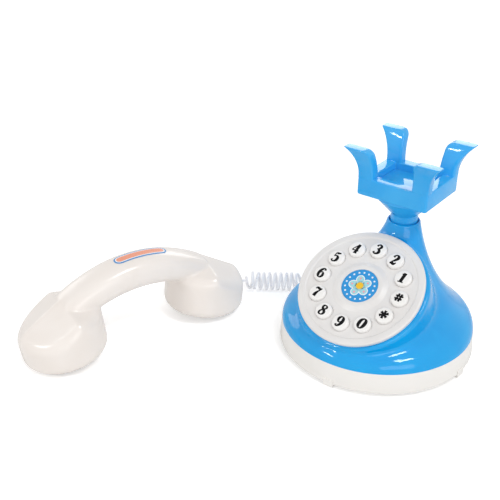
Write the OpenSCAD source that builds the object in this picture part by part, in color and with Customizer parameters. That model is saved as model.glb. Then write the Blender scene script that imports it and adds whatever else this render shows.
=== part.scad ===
// Toy cradle telephone: blue bell body on a white ring, sloping dial with push keys,
// sprung cradle with four horns, and a white handset on a short curly cord.
// Millimetres, +Z up, the dial faces -Y, and the origin is where the base's axis meets the table.

/* [Base] */
// Radius of the case at the seam between the white ring and the blue shell
base_r = 55; // [52:0.5:62]
// Extra radius of the white ring at its lower edge
base_flare = 0.8; // [0:0.1:2]
// Height of the white ring
ring_h = 12; // [12:0.5:18]
// Height of the foot lugs and of the standing ring under the floor
foot_h = 2; // [1:0.5:4]
// Width of a foot lug
foot_w = 6; // [4:0.5:10]
// Angle between the two lugs of a pair
foot_split = 83; // [60:1:120]
// Thickness of the moulded walls
wall = 2.2; // [1.8:0.1:2.6]
// Thickness of the floor
floor_t = 2.5; // [2:0.1:3.5]
// Radius of a case screw's shank
screw_r = 1.5; // [1.2:0.1:2]
// Radius of a screw head
screw_head_r = 2.8; // [2.4:0.1:3.2]
// Radius of the circle that the case screws stand on
case_screw_ring = 42; // [40:0.5:43]

/* [Batteries and speaker] */
// Radius of a battery cell
cell_r = 5.25; // [5:0.05:5.6]
// Length of a battery cell
cell_l = 44.5; // [42:0.5:46]
// Distance from the case's front to the middle of the battery box
cell_edge = 41; // [39:0.5:43]
// Radius of the loudspeaker
speaker_r = 14; // [10:0.5:14]
// Distance from the case's left side to the middle of the loudspeaker
speaker_edge = 25; // [23:0.5:27]
// Height of the loudspeaker
speaker_h = 7; // [5:0.5:9]

/* [Body shell] */
// Height of the shell from the seam to the top of the neck
shell_h = 55.5; // [53:0.5:62]
// Radius of the rounded shoulder above the seam
shoulder_r = 8.7; // [7:0.1:10]
// Angle that the shoulder turns through before the bell begins
shoulder_turn = 58; // [50:1:62]
// Radius of the neck at its top
neck_r = 9.3; // [9.2:0.1:11]
// Slope of the neck's wall
neck_slope = 11; // [8:1:16]
// How far the neck stands behind the middle of the base
neck_back = 23; // [21:0.5:25]

/* [Dial] */
// Radius of the dial plate
dial_r = 35.7; // [35:0.1:37]
// Thickness of the dial plate
plate_t = 3.5; // [3:0.1:4.5]
// How far the blue boss stands out round the dial plate
boss_lip = 1.8; // [1.2:0.1:3]
// How far the dial's middle stands in front of the base's middle
dial_front = 22.4; // [21:0.1:24]
// Height of the dial's middle above the seam
dial_up = 32; // [31:0.5:35]
// Tilt of the dial away from level
dial_tilt = 33; // [30:0.5:36]
// Radius of the circle that the keys stand on
key_ring_r = 23.9; // [23.5:0.1:24]
// Turn of the circle of keys
key_turn = 2.3; // [0:0.1:6]
// Radius of a key
key_r = 4.8; // [4.4:0.1:5.2]
// Height of a key above the dial's rim
key_h = 1.5; // [1:0.1:3]
// Travel of a key
key_travel = 1.2; // [0.6:0.1:1.6]
// Radius of the badge in the middle of the dial
badge_r = 10.2; // [8:0.1:10.6]

/* [Cradle] */
// Length of the cradle from left to right
cradle_l = 42.7; // [38:0.1:48]
// Width of the cradle from front to back
cradle_w = 38; // [36:0.1:40]
// Height of the cradle's tray
deck_h = 10.5; // [9:0.5:14]
// Width of the tray's rim
rim_w = 6.5; // [5:0.1:8]
// Depth of the recess in the tray
recess_d = 6; // [3:0.5:7]
// Height of the horns' tips above the cradle's underside
horn_h = 28; // [24:0.5:32]
// How far the horns' tips reach out beyond the cradle's ends
horn_reach = 7.8; // [6:0.1:10]
// How far the horns' tips lean out to the front and back
horn_lean = 5.3; // [3:0.1:7]
// Thickness of a horn at its tip
horn_tip = 6.8; // [4:0.1:7.4]
// Half the gap between the roots of the two front horns
horn_gap = 11.6; // [10:0.1:12.5]
// Height of the cradle's underside above the neck
cradle_up = 16.5; // [15:0.5:20]
// Travel of the cradle
hook_travel = 3; // [2:0.5:3]
// Radius of the stem's rod
rod_r = 5; // [4.5:0.1:5.4]
// Radius of the stem's collar where it enters the neck
collar_r = 7.9; // [7.5:0.1:8]
// Radius of the stem's flare under the tray
flare_r = 17.5; // [14:0.1:17.8]
// Wire of the cradle's spring
spring_wire = 1; // [0.8:0.1:1.2]
// Turns of the cradle's spring
spring_turns = 6; // [4:1:8]

/* [Handset] */
// Distance between the middles of the handset's two caps
cap_span = 91.5; // [86:0.5:105]
// Radius of a cap
cap_r = 24.4; // [22:0.1:27]
// Rounding of a cap's lower edge
cap_round = 5; // [3:0.5:7]
// Lean of the caps towards each other
cap_lean = 7; // [4:0.5:9]
// Height of the ridge over the middle of a cap
ridge_h = 36.5; // [34:0.5:40]
// Fall of the ridge towards the outer end
ridge_fall = 32; // [28:1:36]
// Fall of the roof to the sides of the ridge
roof_fall = 16; // [14:1:24]
// Fall of the ridge towards the handle
inner_fall = 7; // [5:1:20]
// Height of the handle's crest
crest_h = 50; // [46:0.5:54]
// Width of the handle
handle_w = 23; // [20:0.5:26]
// Thickness of the handle
handle_t = 19; // [17:0.5:21]
// Where the handset lies: left to right
handset_x = -117.5; // [-130:0.5:-110]
// Where the handset lies: front to back
handset_y = -79.3; // [-85:0.1:-70]
// Turn of the handset on the table
handset_turn = 72.3; // [60:0.1:90]
// Length of the oval label on the handle
label_l = 32; // [24:1:38]
// Width of the oval label
label_w = 10; // [7:0.5:12]

/* [Cord] */
// Thickness of the cord
cord_d = 1.8; // [1.4:0.1:2]
// Outer diameter of the cord's curls
curl_d = 12; // [9:0.5:12]
// Number of curls
curls = 10; // [6:1:10]
// Height of the two cord bushes above the table
gland_z = 8; // [7.5:0.5:9]
// Direction in which the cord enters the base
gland_angle = 165; // [160:1:175]

/* [Hidden] */
$fn = 64;

shell_blue = "#2ba3e8";
shell_white = "#efeeea";
handset_white = "#f2eeea";
steel = "#b8bcc0";

// Running clearances
slide_gap = 0.2;
hole_gap = 0.1;
thread_gap = 0.05;
key_gap = 0.3;
eps = 0.01;
far = 200;

// Heights of the base
floor_z = foot_h + floor_t;
seam_z = foot_h + ring_h;
neck_z = seam_z + shell_h;
ring_in_r = base_r - wall;

// Standing ring and lip
stand_w = 3.5;
stand_r = base_r - 3.5;
lip_h = 2.5;
lip_t = 1.9;
lip_gap = 0.9;

// Battery box
cell_front = base_r - cell_edge;
box_wall = 1.5;
cell_gap = 0.3;
contact_t = 1.2;
cell_pitch = 2 * cell_r + 2 * cell_gap;
cell_z = floor_z + cell_r + cell_gap;
box_in_l = cell_l + 2 * (contact_t + cell_gap);
box_in_w = 2 * cell_pitch;
box_top = cell_z + cell_r + cell_gap;
door_gap = 0.2;
door_lip = 1.2;
door_screw_y = -cell_front - box_in_l / 2 - box_wall - 3.5;

// Speaker
speaker_left = base_r - speaker_edge;
grille_r = 1.4;
grille_ring = speaker_r * 0.5;
speaker_wall = 1.5;

// Neck, guide and stem
collar_gap = 0.35;
cup_r = collar_r + collar_gap;
cup_d = 7;
cup_z = neck_z - cup_d;
web_t = 2.5;
guide_r = rod_r + 2.3;
guide_flange_t = 1.5;
guide_flange_r = cup_r - hole_gap - 0.1;
guide_l = 20;
guide_z = cup_z - guide_l;
sleeve_r = guide_r + hole_gap + 1.9;
collar_z = cup_z + guide_flange_t + hook_travel + 0.3;
cradle_z = neck_z + cradle_up;
flare_z = neck_z + hook_travel + 1.5;
flare_edge = 2;
stem_screw_in = 14;
rod_z = seam_z + 16;
clip_t = 1.2;
clip_z = guide_z - slide_gap - clip_t;
spring_r = rod_r + 1.6;
clip_r = spring_r + 2.9;
groove_d = 0.8;

// Post under the stem, spring seat and switch
seat_z = seam_z;
post_r = spring_r + 2;
spigot_r = spring_r - spring_wire / 2 - 0.6;
spigot_z = rod_z - hook_travel - 3;
switch_y = neck_back + clip_r + 0.6;
switch_l = 5;
switch_w = 11;
switch_h = 8;
switch_z = seam_z + 8;
lever_t = 0.8;
lever_w = 4;
lever_l = 3.2;
lever_z = clip_z - hook_travel - 0.4;

// Dial stack, measured along the dial's normal from the rim plane
key_flange = 1;
flange_t = 1.3;
flange_h = -plate_t - hole_gap;
dome_gap = 0.1;
dome_h = flange_h - flange_t - dome_gap;
dome_t = key_travel + 0.6;
mat_t = 1;
mat_h = dome_h - dome_t;
board_h = mat_h - mat_t;
board_t = 1.6;
board_r = key_ring_r + key_r + key_flange - 0.3;
hub_r = badge_r + 2.5;
hub_slope_w = 2.8;
hub_h = 0.8;
badge_t = 0.8;
badge_h = 0.4;
band_d = 0.6;
band_out = key_ring_r + key_r + 2.7;
skirt_r = key_ring_r + key_r + key_flange + 1.2;
skirt_in = skirt_r - 0.9;
skirt_d = 2;
post_ring = (hub_r + key_ring_r - key_r - key_flange) / 2 - 0.6;
board_post_r = 2.2;
board_posts = 4;
boss_r = dial_r + boss_lip;

// Horn roots and curves
horn_z0 = deck_h + 1;
horn_in_lean = 4;
horn_corner = 4.5;
horn_steps = 8;

// Handset
handset_wall = 2;
cap_drum_h = 60;
handle_rings = 18;
handle_sides = 20;
handle_half = cap_span / 2;
handle_end = ridge_h - 0.5;
part_h = 15;
cap_lift = (cap_r - cap_round) * sin(cap_lean) + cap_round * (1 - cos(cap_lean));
label_at = 5;
label_t = 0.3;

// Cord bushes
bush_r = cord_d / 2 + 1.7;
bush_flange_r = bush_r + 1.4;
bush_out = 2;
bush_in = 3;
// The base's bush stands clear of the sloping wall, and the handset's lies square on the leaning cap
base_bush_r = base_r + base_flare * (seam_z - gland_z + bush_flange_r) / ring_h + thread_gap;
bush_up = (gland_z - cap_lift + cap_r * sin(cap_lean)) / cos(cap_lean);
handset_bush_x = handle_half + cap_r * cos(cap_lean) + bush_up * sin(cap_lean) + thread_gap;
cord_lead = cord_d + 0.4;
lay_z = curl_d / 2 + 0.2;

// The middle of the curly cord, from the handset's bush to the base's bush
cord_between = [
    [-91.4, -2.2, 6.8], [-86.2, 1.7, lay_z], [-81, 5.6, lay_z], [-75.8, 9.4, lay_z],
    [-70.6, 13.1, lay_z], [-65.2, 16.6, 7]
];

// Helpers
function smooth(s) = s * s * (3 - 2 * s);
function mix(a, b, s) = a + (b - a) * s;
function unit(v) = v / norm(v);
function bezier(a, b, c, d, t) =
    a * pow(1 - t, 3) + b * 3 * t * pow(1 - t, 2) + c * 3 * t * t * (1 - t) + d * pow(t, 3);
function spline(a, b, c, d, t) =
    0.5 * (2 * b + (c - a) * t + (2 * a - 5 * b + 4 * c - d) * t * t
        + (3 * b - a - 3 * c + d) * pow(t, 3));
// An arc that starts upright at height z0 and is w out at height z1
function arc_out(w, z0, z1, z) =
    let (h = z1 - z0, r = (h * h + w * w) / (2 * w), u = max(0, z - z0))
    r - sqrt(r * r - u * u);

// The bell: radius and height of its outline, and how far each circle is moved back
bell_arc = 4;
bell_steps = 9;
bell_sides = 40;
bell_foot = [
    base_r - shoulder_r * (1 - cos(shoulder_turn)), seam_z + shoulder_r * sin(shoulder_turn)
];
bell_low = 15;
bell_high = 22;
bell_outline = concat(
    [for (i = [0 : bell_arc - 1])
        let (a = shoulder_turn * i / bell_arc)
        [base_r - shoulder_r * (1 - cos(a)), seam_z + shoulder_r * sin(a)]],
    [for (i = [0 : bell_steps])
        bezier(
            bell_foot,
            bell_foot + bell_low * [-sin(shoulder_turn), cos(shoulder_turn)],
            [neck_r, neck_z] + bell_high * [sin(neck_slope), -cos(neck_slope)],
            [neck_r, neck_z],
            i / bell_steps)]
);
function bell_back(z) = neck_back * smooth((z - seam_z) / shell_h);
// The rings of the bell, made smaller by t, up to height top
function bell_rings(t, top) = [
    for (p = bell_outline) if (p[1] < top) [p[0] - t, p[1], bell_back(p[1])]
];

module loft(rings, sides) {
    n = len(rings);
    points = [for (r = rings, k = [0 : sides - 1])
        [r[0] * cos(360 * k / sides), r[2] + r[0] * sin(360 * k / sides), r[1]]];
    lower = [for (i = [0 : n - 2], k = [0 : sides - 1])
        [i * sides + k, (i + 1) * sides + k, i * sides + (k + 1) % sides]];
    upper = [for (i = [0 : n - 2], k = [0 : sides - 1])
        [i * sides + (k + 1) % sides, (i + 1) * sides + k, (i + 1) * sides + (k + 1) % sides]];
    bottom = [[for (k = [0 : sides - 1]) k]];
    top = [[for (k = [sides - 1 : -1 : 0]) (n - 1) * sides + k]];
    polyhedron(points, concat(lower, upper, bottom, top));
}

// A round tube along points, with the first direction of each ring given
module tube(points, normals, r, sides) {
    n = len(points);
    tangents = [for (i = [0 : n - 1]) unit(points[min(i + 1, n - 1)] - points[max(i - 1, 0)])];
    rims = [for (i = [0 : n - 1], k = [0 : sides - 1])
        let (a = unit(normals[i] - tangents[i] * (normals[i] * tangents[i])))
        points[i] + r * (a * cos(360 * k / sides) + cross(tangents[i], a) * sin(360 * k / sides))];
    one = [for (i = [0 : n - 2], k = [0 : sides - 1])
        [i * sides + k, (i + 1) * sides + k, i * sides + (k + 1) % sides]];
    two = [for (i = [0 : n - 2], k = [0 : sides - 1])
        [i * sides + (k + 1) % sides, (i + 1) * sides + k, (i + 1) * sides + (k + 1) % sides]];
    start = [for (k = [1 : sides - 2]) [0, k, k + 1]];
    ends = [for (k = [1 : sides - 2])
        [(n - 1) * sides, (n - 1) * sides + k + 1, (n - 1) * sides + k]];
    polyhedron(rims, concat(one, two, start, ends));
}

module at_dial() {
    translate([0, -dial_front, seam_z + dial_up])
        rotate([dial_tilt, 0, 0])
            children();
}

module at_neck(z) {
    translate([0, neck_back, z])
        children();
}

module at_key(i) {
    at_dial()
        rotate(key_turn + 30 * i)
            translate([key_ring_r, 0, 0])
                rotate(-key_turn - 30 * i)
                    children();
}

module at_case_screws() {
    for (a = [45 : 90 : 315])
        rotate(a)
            translate([case_screw_ring, 0, 0])
                children();
}

module at_handset() {
    translate([handset_x, handset_y, 0])
        rotate(handset_turn)
            children();
}

module ring(r_out, r_in, h) {
    difference() {
        cylinder(r = r_out, h = h);
        translate([0, 0, -eps])
            cylinder(r = r_in, h = h + 2 * eps);
    }
}

module slab(l, w, h) {
    translate([-l / 2, -w / 2, 0])
        cube([l, w, h]);
}

module rounded_slab(l, w, h, r) {
    slab(l - 2 * r, w, h);
    slab(l, w - 2 * r, h);
    for (x = [-1, 1], y = [-1, 1])
        translate([x * (l / 2 - r), y * (w / 2 - r), 0])
            cylinder(r = r, h = h, $fn = 32);
}

module screw(length, head_t) {
    cylinder(r = screw_head_r, h = head_t, $fn = 32);
    cylinder(r = screw_r, h = length, $fn = 32);
}

// Base pieces

module at_base_bush() {
    rotate(gland_angle)
        translate([base_bush_r, 0, gland_z])
            rotate([0, 90, 0])
                children();
}

module foot_lugs() {
    for (half = [0, 180], side = [-1, 1])
        rotate(half - 45 + side * foot_split / 2)
            translate([stand_r - 1, -foot_w / 2, 0])
                cube([base_r + base_flare + 0.4 - stand_r + 1, foot_w, floor_z]);
}

screw_pocket = 2;
screw_column_r = screw_head_r + 1.4;

module lower_case() {
    color(shell_white)
    difference() {
        union() {
            difference() {
                translate([0, 0, foot_h])
                    cylinder(r1 = base_r + base_flare, r2 = base_r, h = ring_h);
                translate([0, 0, floor_z])
                    cylinder(r = ring_in_r, h = far);
            }
            ring(stand_r, stand_r - stand_w, foot_h + eps);
            foot_lugs();
            translate([0, 0, floor_z - eps])
                ring(ring_in_r + eps, ring_in_r - lip_gap - lip_t, ring_h - floor_t - lip_h);
            translate([0, 0, floor_z - eps])
                ring(ring_in_r - lip_gap, ring_in_r - lip_gap - lip_t, ring_h - floor_t + lip_h);
            at_case_screws()
                translate([0, 0, foot_h])
                    cylinder(r = screw_column_r, h = ring_h, $fn = 32);
            translate([0, -cell_front, foot_h])
                slab(box_in_w + 2 * box_wall, box_in_l + 2 * box_wall, box_top + box_wall - foot_h);
            translate([0, door_screw_y, foot_h])
                cylinder(r = screw_head_r + 1.6, h = floor_t + 5, $fn = 32);
            at_neck(foot_h) {
                cylinder(r = post_r, h = seat_z - foot_h);
                cylinder(r = spigot_r, h = spigot_z - foot_h);
            }
            translate([0, switch_y + switch_l / 2, foot_h])
                slab(switch_w, switch_l, switch_z - foot_h);
            translate([-speaker_left, 0, floor_z - eps])
                ring(speaker_r + hole_gap + speaker_wall, speaker_r + hole_gap, speaker_h * 0.5);
        }
        translate([0, -cell_front, foot_h - eps])
            slab(box_in_w, box_in_l, box_top - foot_h + eps);
        translate([0, -cell_front, foot_h - eps])
            slab(box_in_w + 2 * door_lip, box_in_l + 2 * door_lip, floor_t / 2 + door_gap);
        translate([0, door_screw_y, foot_h - eps])
            door_tab(door_gap, floor_t / 2 + door_gap);
        translate([0, door_screw_y, foot_h - eps])
            cylinder(r = screw_r + thread_gap, h = floor_t + 3, $fn = 32);
        at_case_screws() {
            translate([0, 0, foot_h - eps])
                cylinder(r = screw_head_r + hole_gap, h = screw_pocket, $fn = 32);
            cylinder(r = screw_r + hole_gap, h = far, $fn = 32);
        }
        translate([-speaker_left, 0, 0])
            for (a = [0 : 60 : 300])
                rotate(a)
                    translate([grille_ring, 0, 0])
                        cylinder(r = grille_r, h = floor_z + 1, $fn = 24);
        translate([-speaker_left, 0, 0])
            cylinder(r = grille_r, h = floor_z + 1, $fn = 24);
        at_base_bush()
            translate([0, 0, -wall - base_flare - 6])
                cylinder(r = bush_r + hole_gap, h = wall + base_flare + 7, $fn = 32);
    }
}

module door_tab(gap, h) {
    cylinder(r = screw_head_r + 1 + gap, h = h, $fn = 32);
    translate([-screw_head_r - 1 - gap, 0, 0])
        cube([2 * (screw_head_r + 1 + gap), 5, h]);
}

module battery_door() {
    color(shell_white)
    difference() {
        translate([0, 0, foot_h]) {
            translate([0, -cell_front, 0])
                slab(box_in_w + 2 * (door_lip - door_gap), box_in_l + 2 * (door_lip - door_gap),
                    floor_t / 2);
            translate([0, door_screw_y, 0])
                door_tab(0, floor_t / 2);
            translate([0, -cell_front, 0])
                slab(box_in_w - 2 * door_gap, box_in_l - 2 * door_gap, floor_t - cell_gap);
        }
        translate([0, door_screw_y, 0])
            cylinder(r = screw_r + hole_gap, h = far, $fn = 32);
    }
}

module door_screw() {
    color(steel)
    translate([0, door_screw_y, foot_h - foot_h / 2]) {
        cylinder(r = screw_head_r, h = foot_h / 2, $fn = 32);
        cylinder(r = screw_r, h = foot_h / 2 + floor_t + 1.5, $fn = 32);
    }
}

module case_screws() {
    color(steel)
    at_case_screws()
        translate([0, 0, foot_h + screw_pocket - eps - 1.6])
            screw(ring_h + 2, 1.6 - thread_gap);
}

module battery_cells() {
    for (side = [-1, 1])
        translate([side * cell_pitch / 2, -cell_front, cell_z])
            rotate([90 * side, 0, 0]) {
                color("#3f7f4f")
                translate([0, 0, -cell_l / 2])
                    cylinder(r = cell_r, h = cell_l - 1);
                color(steel)
                translate([0, 0, cell_l / 2 - 1 - eps])
                    cylinder(r = cell_r * 0.36, h = 1 + eps);
            }
}

module battery_contacts() {
    color(steel)
    for (end = [-1, 1], side = [-1, 1])
        translate([
            side * cell_pitch / 2,
            -cell_front + end * (box_in_l / 2 - contact_t / 2 - cell_gap / 2),
            floor_z + cell_gap
        ])
            slab(2 * cell_r - 1, contact_t, 2 * cell_r - 0.5);
}

module speaker_frame() {
    color("#3a3d42")
    translate([-speaker_left, 0, floor_z + thread_gap])
        difference() {
            cylinder(r = speaker_r, h = speaker_h - 2);
            translate([0, 0, -eps])
                cylinder(r1 = speaker_r - 1, r2 = speaker_r * 0.62, h = speaker_h - 3);
            translate([0, 0, -eps])
                cylinder(r = speaker_r * 0.4, h = far);
        }
}

module speaker_cone() {
    color("#1d1d1f")
    translate([-speaker_left, 0, floor_z + 0.6])
        difference() {
            cylinder(r1 = speaker_r - 1.9, r2 = speaker_r * 0.38, h = speaker_h - 4);
            translate([0, 0, -eps])
                cylinder(r1 = speaker_r - 2.7, r2 = speaker_r * 0.38 - 0.8, h = speaker_h - 4.6);
        }
}

module speaker_magnet() {
    color("#7d8187")
    translate([-speaker_left, 0, floor_z + speaker_h - 2 + 2 * thread_gap])
        cylinder(r = speaker_r * 0.5, h = 3.5);
}

module shell_solid(t, top) {
    loft(bell_rings(t, top), bell_sides);
    intersection() {
        at_dial()
            translate([0, 0, -far / 2])
                cylinder(r = boss_r - t, h = far / 2 - plate_t - t);
        translate([0, 0, seam_z + shell_h / 2 - eps * t])
            cube([far, far, shell_h], center = true);
    }
}

module body_shell() {
    color(shell_blue)
    difference() {
        union() {
            difference() {
                shell_solid(0, neck_z + eps);
                shell_solid(wall, cup_z - web_t);
            }
            at_neck(guide_z)
                cylinder(r = sleeve_r, h = cup_z - guide_z);
            intersection() {
                at_case_screws()
                    translate([0, 0, seam_z])
                        cylinder(r = screw_column_r - 0.6, h = far, $fn = 32);
                loft(bell_rings(wall / 2, cup_z - web_t), bell_sides);
            }
        }
        at_dial()
            translate([0, 0, -plate_t - wall - 1])
                cylinder(r = skirt_r + hole_gap, h = far);
        at_neck(cup_z)
            cylinder(r = cup_r, h = far);
        at_neck(guide_z - 1)
            cylinder(r = guide_r + hole_gap, h = far);
        at_case_screws()
            translate([0, 0, seam_z - 1])
                cylinder(r = screw_r + thread_gap, h = 6, $fn = 32);
    }
}

module stem_guide() {
    color(shell_white)
    at_neck(0)
        difference() {
            union() {
                translate([0, 0, guide_z])
                    cylinder(r = guide_r, h = guide_l + guide_flange_t);
                translate([0, 0, cup_z + thread_gap])
                    cylinder(r = guide_flange_r, h = guide_flange_t - thread_gap);
            }
            cylinder(r = rod_r + slide_gap, h = far);
        }
}

module hook_switch() {
    color("#2b2c30")
    translate([0, switch_y, 0]) {
        translate([0, switch_l / 2, switch_z])
            slab(switch_w, switch_l, switch_h);
        translate([0, lever_t, switch_z + switch_h - eps])
            slab(lever_w, lever_t, lever_z - switch_z - switch_h + eps);
        translate([0, lever_t * 1.5 - lever_l / 2, lever_z - lever_t])
            slab(lever_w, lever_l, lever_t);
    }
}

spring_low = seat_z + thread_gap;
spring_high = clip_z - thread_gap;
spring_points = [for (i = [0 : 8 * spring_turns])
    let (a = 45 * i)
    [
        spring_r * cos(a),
        neck_back + spring_r * sin(a),
        mix(spring_low + spring_wire / 2, spring_high - spring_wire / 2, i / (8 * spring_turns))
    ]];
spring_normals = [for (i = [0 : 8 * spring_turns]) [cos(45 * i), sin(45 * i), 0]];

module hook_spring() {
    color(steel)
    tube(spring_points, spring_normals, spring_wire / 2, 6);
}

module cord_bush() {
    difference() {
        union() {
            translate([0, 0, -bush_in])
                cylinder(r = bush_r, h = bush_in + bush_out, $fn = 32);
            cylinder(r1 = bush_flange_r, r2 = bush_r, h = bush_out, $fn = 32);
        }
        translate([0, 0, -bush_in - eps])
            cylinder(r = cord_d / 2, h = bush_in + 1, $fn = 32);
    }
}

module base_cord_gland() {
    color("#e9e9e6")
    at_base_bush()
        cord_bush();
}

module at_handset_bush() {
    at_handset()
        translate([handset_bush_x, 0, gland_z])
            rotate([0, 90 + cap_lean, 0])
                children();
}

module handset_cord_gland() {
    color(handset_white)
    at_handset_bush()
        cord_bush();
}

// The curly cord
handset_along = [cos(handset_turn), sin(handset_turn), 0];
handset_dir = handset_along * cos(cap_lean) - [0, 0, sin(cap_lean)];
base_dir = [cos(gland_angle), sin(gland_angle), 0];
cord_start = [handset_x, handset_y, gland_z] + handset_bush_x * handset_along + bush_out * handset_dir;
cord_end = (base_bush_r + bush_out) * base_dir + [0, 0, gland_z];
cord_knots = concat(
    [cord_start - handset_dir * 4, cord_start + cord_lead * handset_dir],
    cord_between,
    [cord_end + cord_lead * base_dir, cord_end - base_dir * 4]
);
cord_spans = len(cord_knots) - 3;
function cord_middle(u) =
    let (x = min(u * cord_spans, cord_spans - 0.0001), i = floor(x))
    spline(cord_knots[i], cord_knots[i + 1], cord_knots[i + 2], cord_knots[i + 3], x - i);
function cord_along(u) = unit(cord_middle(min(1, u + 0.01)) - cord_middle(max(0, u - 0.01)));
curl_steps = 8;
curl_r = (curl_d - cord_d) / 2;
// The curls lie between these two parts of the cord's length, and grow from nothing at each end
curl_from = 0.4 / cord_spans;
curl_to = 1 - 0.9 / cord_spans;
curl_ease = 0.9 / curls;
function curl_part(u) = min(1, max(0, (u - curl_from) / (curl_to - curl_from)));
function curl_at(u) = curl_r * smooth(min(1, min(curl_part(u), 1 - curl_part(u)) / curl_ease));
function curl_side(u) =
    let (
        t = cord_along(u),
        side = unit(cross(t, [0, 0, 1])),
        a = 360 * curls * curl_part(u)
    )
    side * cos(a) + cross(side, t) * sin(a);
plain_steps = 4;
cord_us = concat(
    [for (i = [0 : plain_steps - 1]) curl_from * i / plain_steps],
    [for (i = [0 : curl_steps * curls]) mix(curl_from, curl_to, i / (curl_steps * curls))],
    [for (i = [1 : plain_steps]) mix(curl_to, 1, i / plain_steps)]
);
cord_points = concat(
    [cord_start],
    [for (u = cord_us) cord_middle(u) + curl_at(u) * curl_side(u)],
    [cord_end]
);
cord_normals = concat([curl_side(0)], [for (u = cord_us) curl_side(u)], [curl_side(1)]);
function least_gap(p, d, apart) = min([for (i = [0 : len(p) - 1 - apart], j = [i + apart : len(p) - 1])
    norm(p[i] - p[j])]) - d;
echo("least gap of the cord to itself", least_gap(cord_points, cord_d, 5));
echo("least gap of the spring to itself", least_gap(spring_points, spring_wire, 5));

module handset_cord() {
    color("#e6e8ec")
    tube(cord_points, cord_normals, cord_d / 2, 6);
}

// Dial pieces

module dial_plate() {
    edge = 1.2;
    color("#ecebe7")
    at_dial()
        difference() {
            union() {
                rotate_extrude()
                    polygon(concat(
                        [[0, -plate_t], [dial_r - 0.6, -plate_t]],
                        [for (a = [-60 : 15 : 90])
                            [dial_r - edge + edge * cos(a), -edge + edge * sin(a)]],
                        [
                            [band_out + band_d, 0], [band_out, -band_d],
                            [hub_r + hub_slope_w, -band_d], [hub_r, hub_h],
                            [badge_r + hole_gap, hub_h],
                            [badge_r + hole_gap, badge_h - badge_t], [0, badge_h - badge_t]
                        ]
                    ));
                translate([0, 0, -plate_t - skirt_d])
                    ring(skirt_r, skirt_in, skirt_d + eps);
                for (k = [0 : board_posts - 1])
                    rotate(key_turn + 360 * k / board_posts + 15)
                        translate([post_ring, 0, board_h + thread_gap])
                            cylinder(r = board_post_r, h = -plate_t - board_h, $fn = 32);
            }
            for (i = [0 : 11])
                rotate(key_turn + 30 * i)
                    translate([key_ring_r, 0, -far / 2])
                        cylinder(r = key_r + key_gap, h = far, $fn = 48);
            for (k = [0 : board_posts - 1])
                rotate(key_turn + 360 * k / board_posts + 15)
                    translate([post_ring, 0, board_h - 1])
                        cylinder(r = screw_r * 0.7 + thread_gap, h = 4, $fn = 24);
        }
}

module dial_badge() {
    color("#2a93d2")
    at_dial()
        translate([0, 0, badge_h - badge_t])
            cylinder(r = badge_r, h = badge_t);
}

module key_cap(i) {
    round = 0.8;
    color("#f3f2ee")
    at_key(i)
        rotate_extrude($fn = 48)
            polygon(concat(
                [[0, flange_h - flange_t], [key_r + key_flange, flange_h - flange_t]],
                [[key_r + key_flange, flange_h], [key_r, flange_h]],
                [for (a = [0 : 15 : 90])
                    [key_r - round + round * cos(a), key_h - round + round * sin(a)]],
                [[0, key_h + 0.3]]
            ));
}

module key_mat() {
    color("#c9ccd0")
    difference() {
        union() {
            at_dial()
                translate([0, 0, board_h + thread_gap])
                    cylinder(r = board_r - 0.4, h = mat_t);
            for (i = [0 : 11])
                at_key(i)
                    translate([0, 0, mat_h])
                        cylinder(r1 = key_r * 0.62, r2 = key_r * 0.45, h = dome_t, $fn = 32);
        }
        at_dial()
            for (k = [0 : board_posts - 1])
                rotate(key_turn + 360 * k / board_posts + 15)
                    translate([post_ring, 0, -far / 2])
                        cylinder(r = board_post_r + hole_gap, h = far, $fn = 32);
    }
}

module key_board() {
    color("#2f6f45")
    at_dial()
        difference() {
            union() {
                translate([0, 0, board_h - board_t])
                    cylinder(r = board_r, h = board_t);
                color("#17181a")
                translate([0, 0, board_h - board_t - 1])
                    cylinder(r1 = 4.5, r2 = 5.5, h = 1 + eps, $fn = 32);
            }
            for (k = [0 : board_posts - 1])
                rotate(key_turn + 360 * k / board_posts + 15)
                    translate([post_ring, 0, -far / 2])
                        cylinder(r = screw_r * 0.7 + hole_gap, h = far, $fn = 24);
        }
}

module board_screws() {
    color(steel)
    at_dial()
        for (k = [0 : board_posts - 1])
            rotate(key_turn + 360 * k / board_posts + 15)
                translate([post_ring, 0, board_h - board_t - 1.4]) {
                    cylinder(r = screw_r * 1.3, h = 1.4 - thread_gap, $fn = 24);
                    cylinder(r = screw_r * 0.7, h = board_t + 4, $fn = 24);
                }
}

// Cradle pieces

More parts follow.
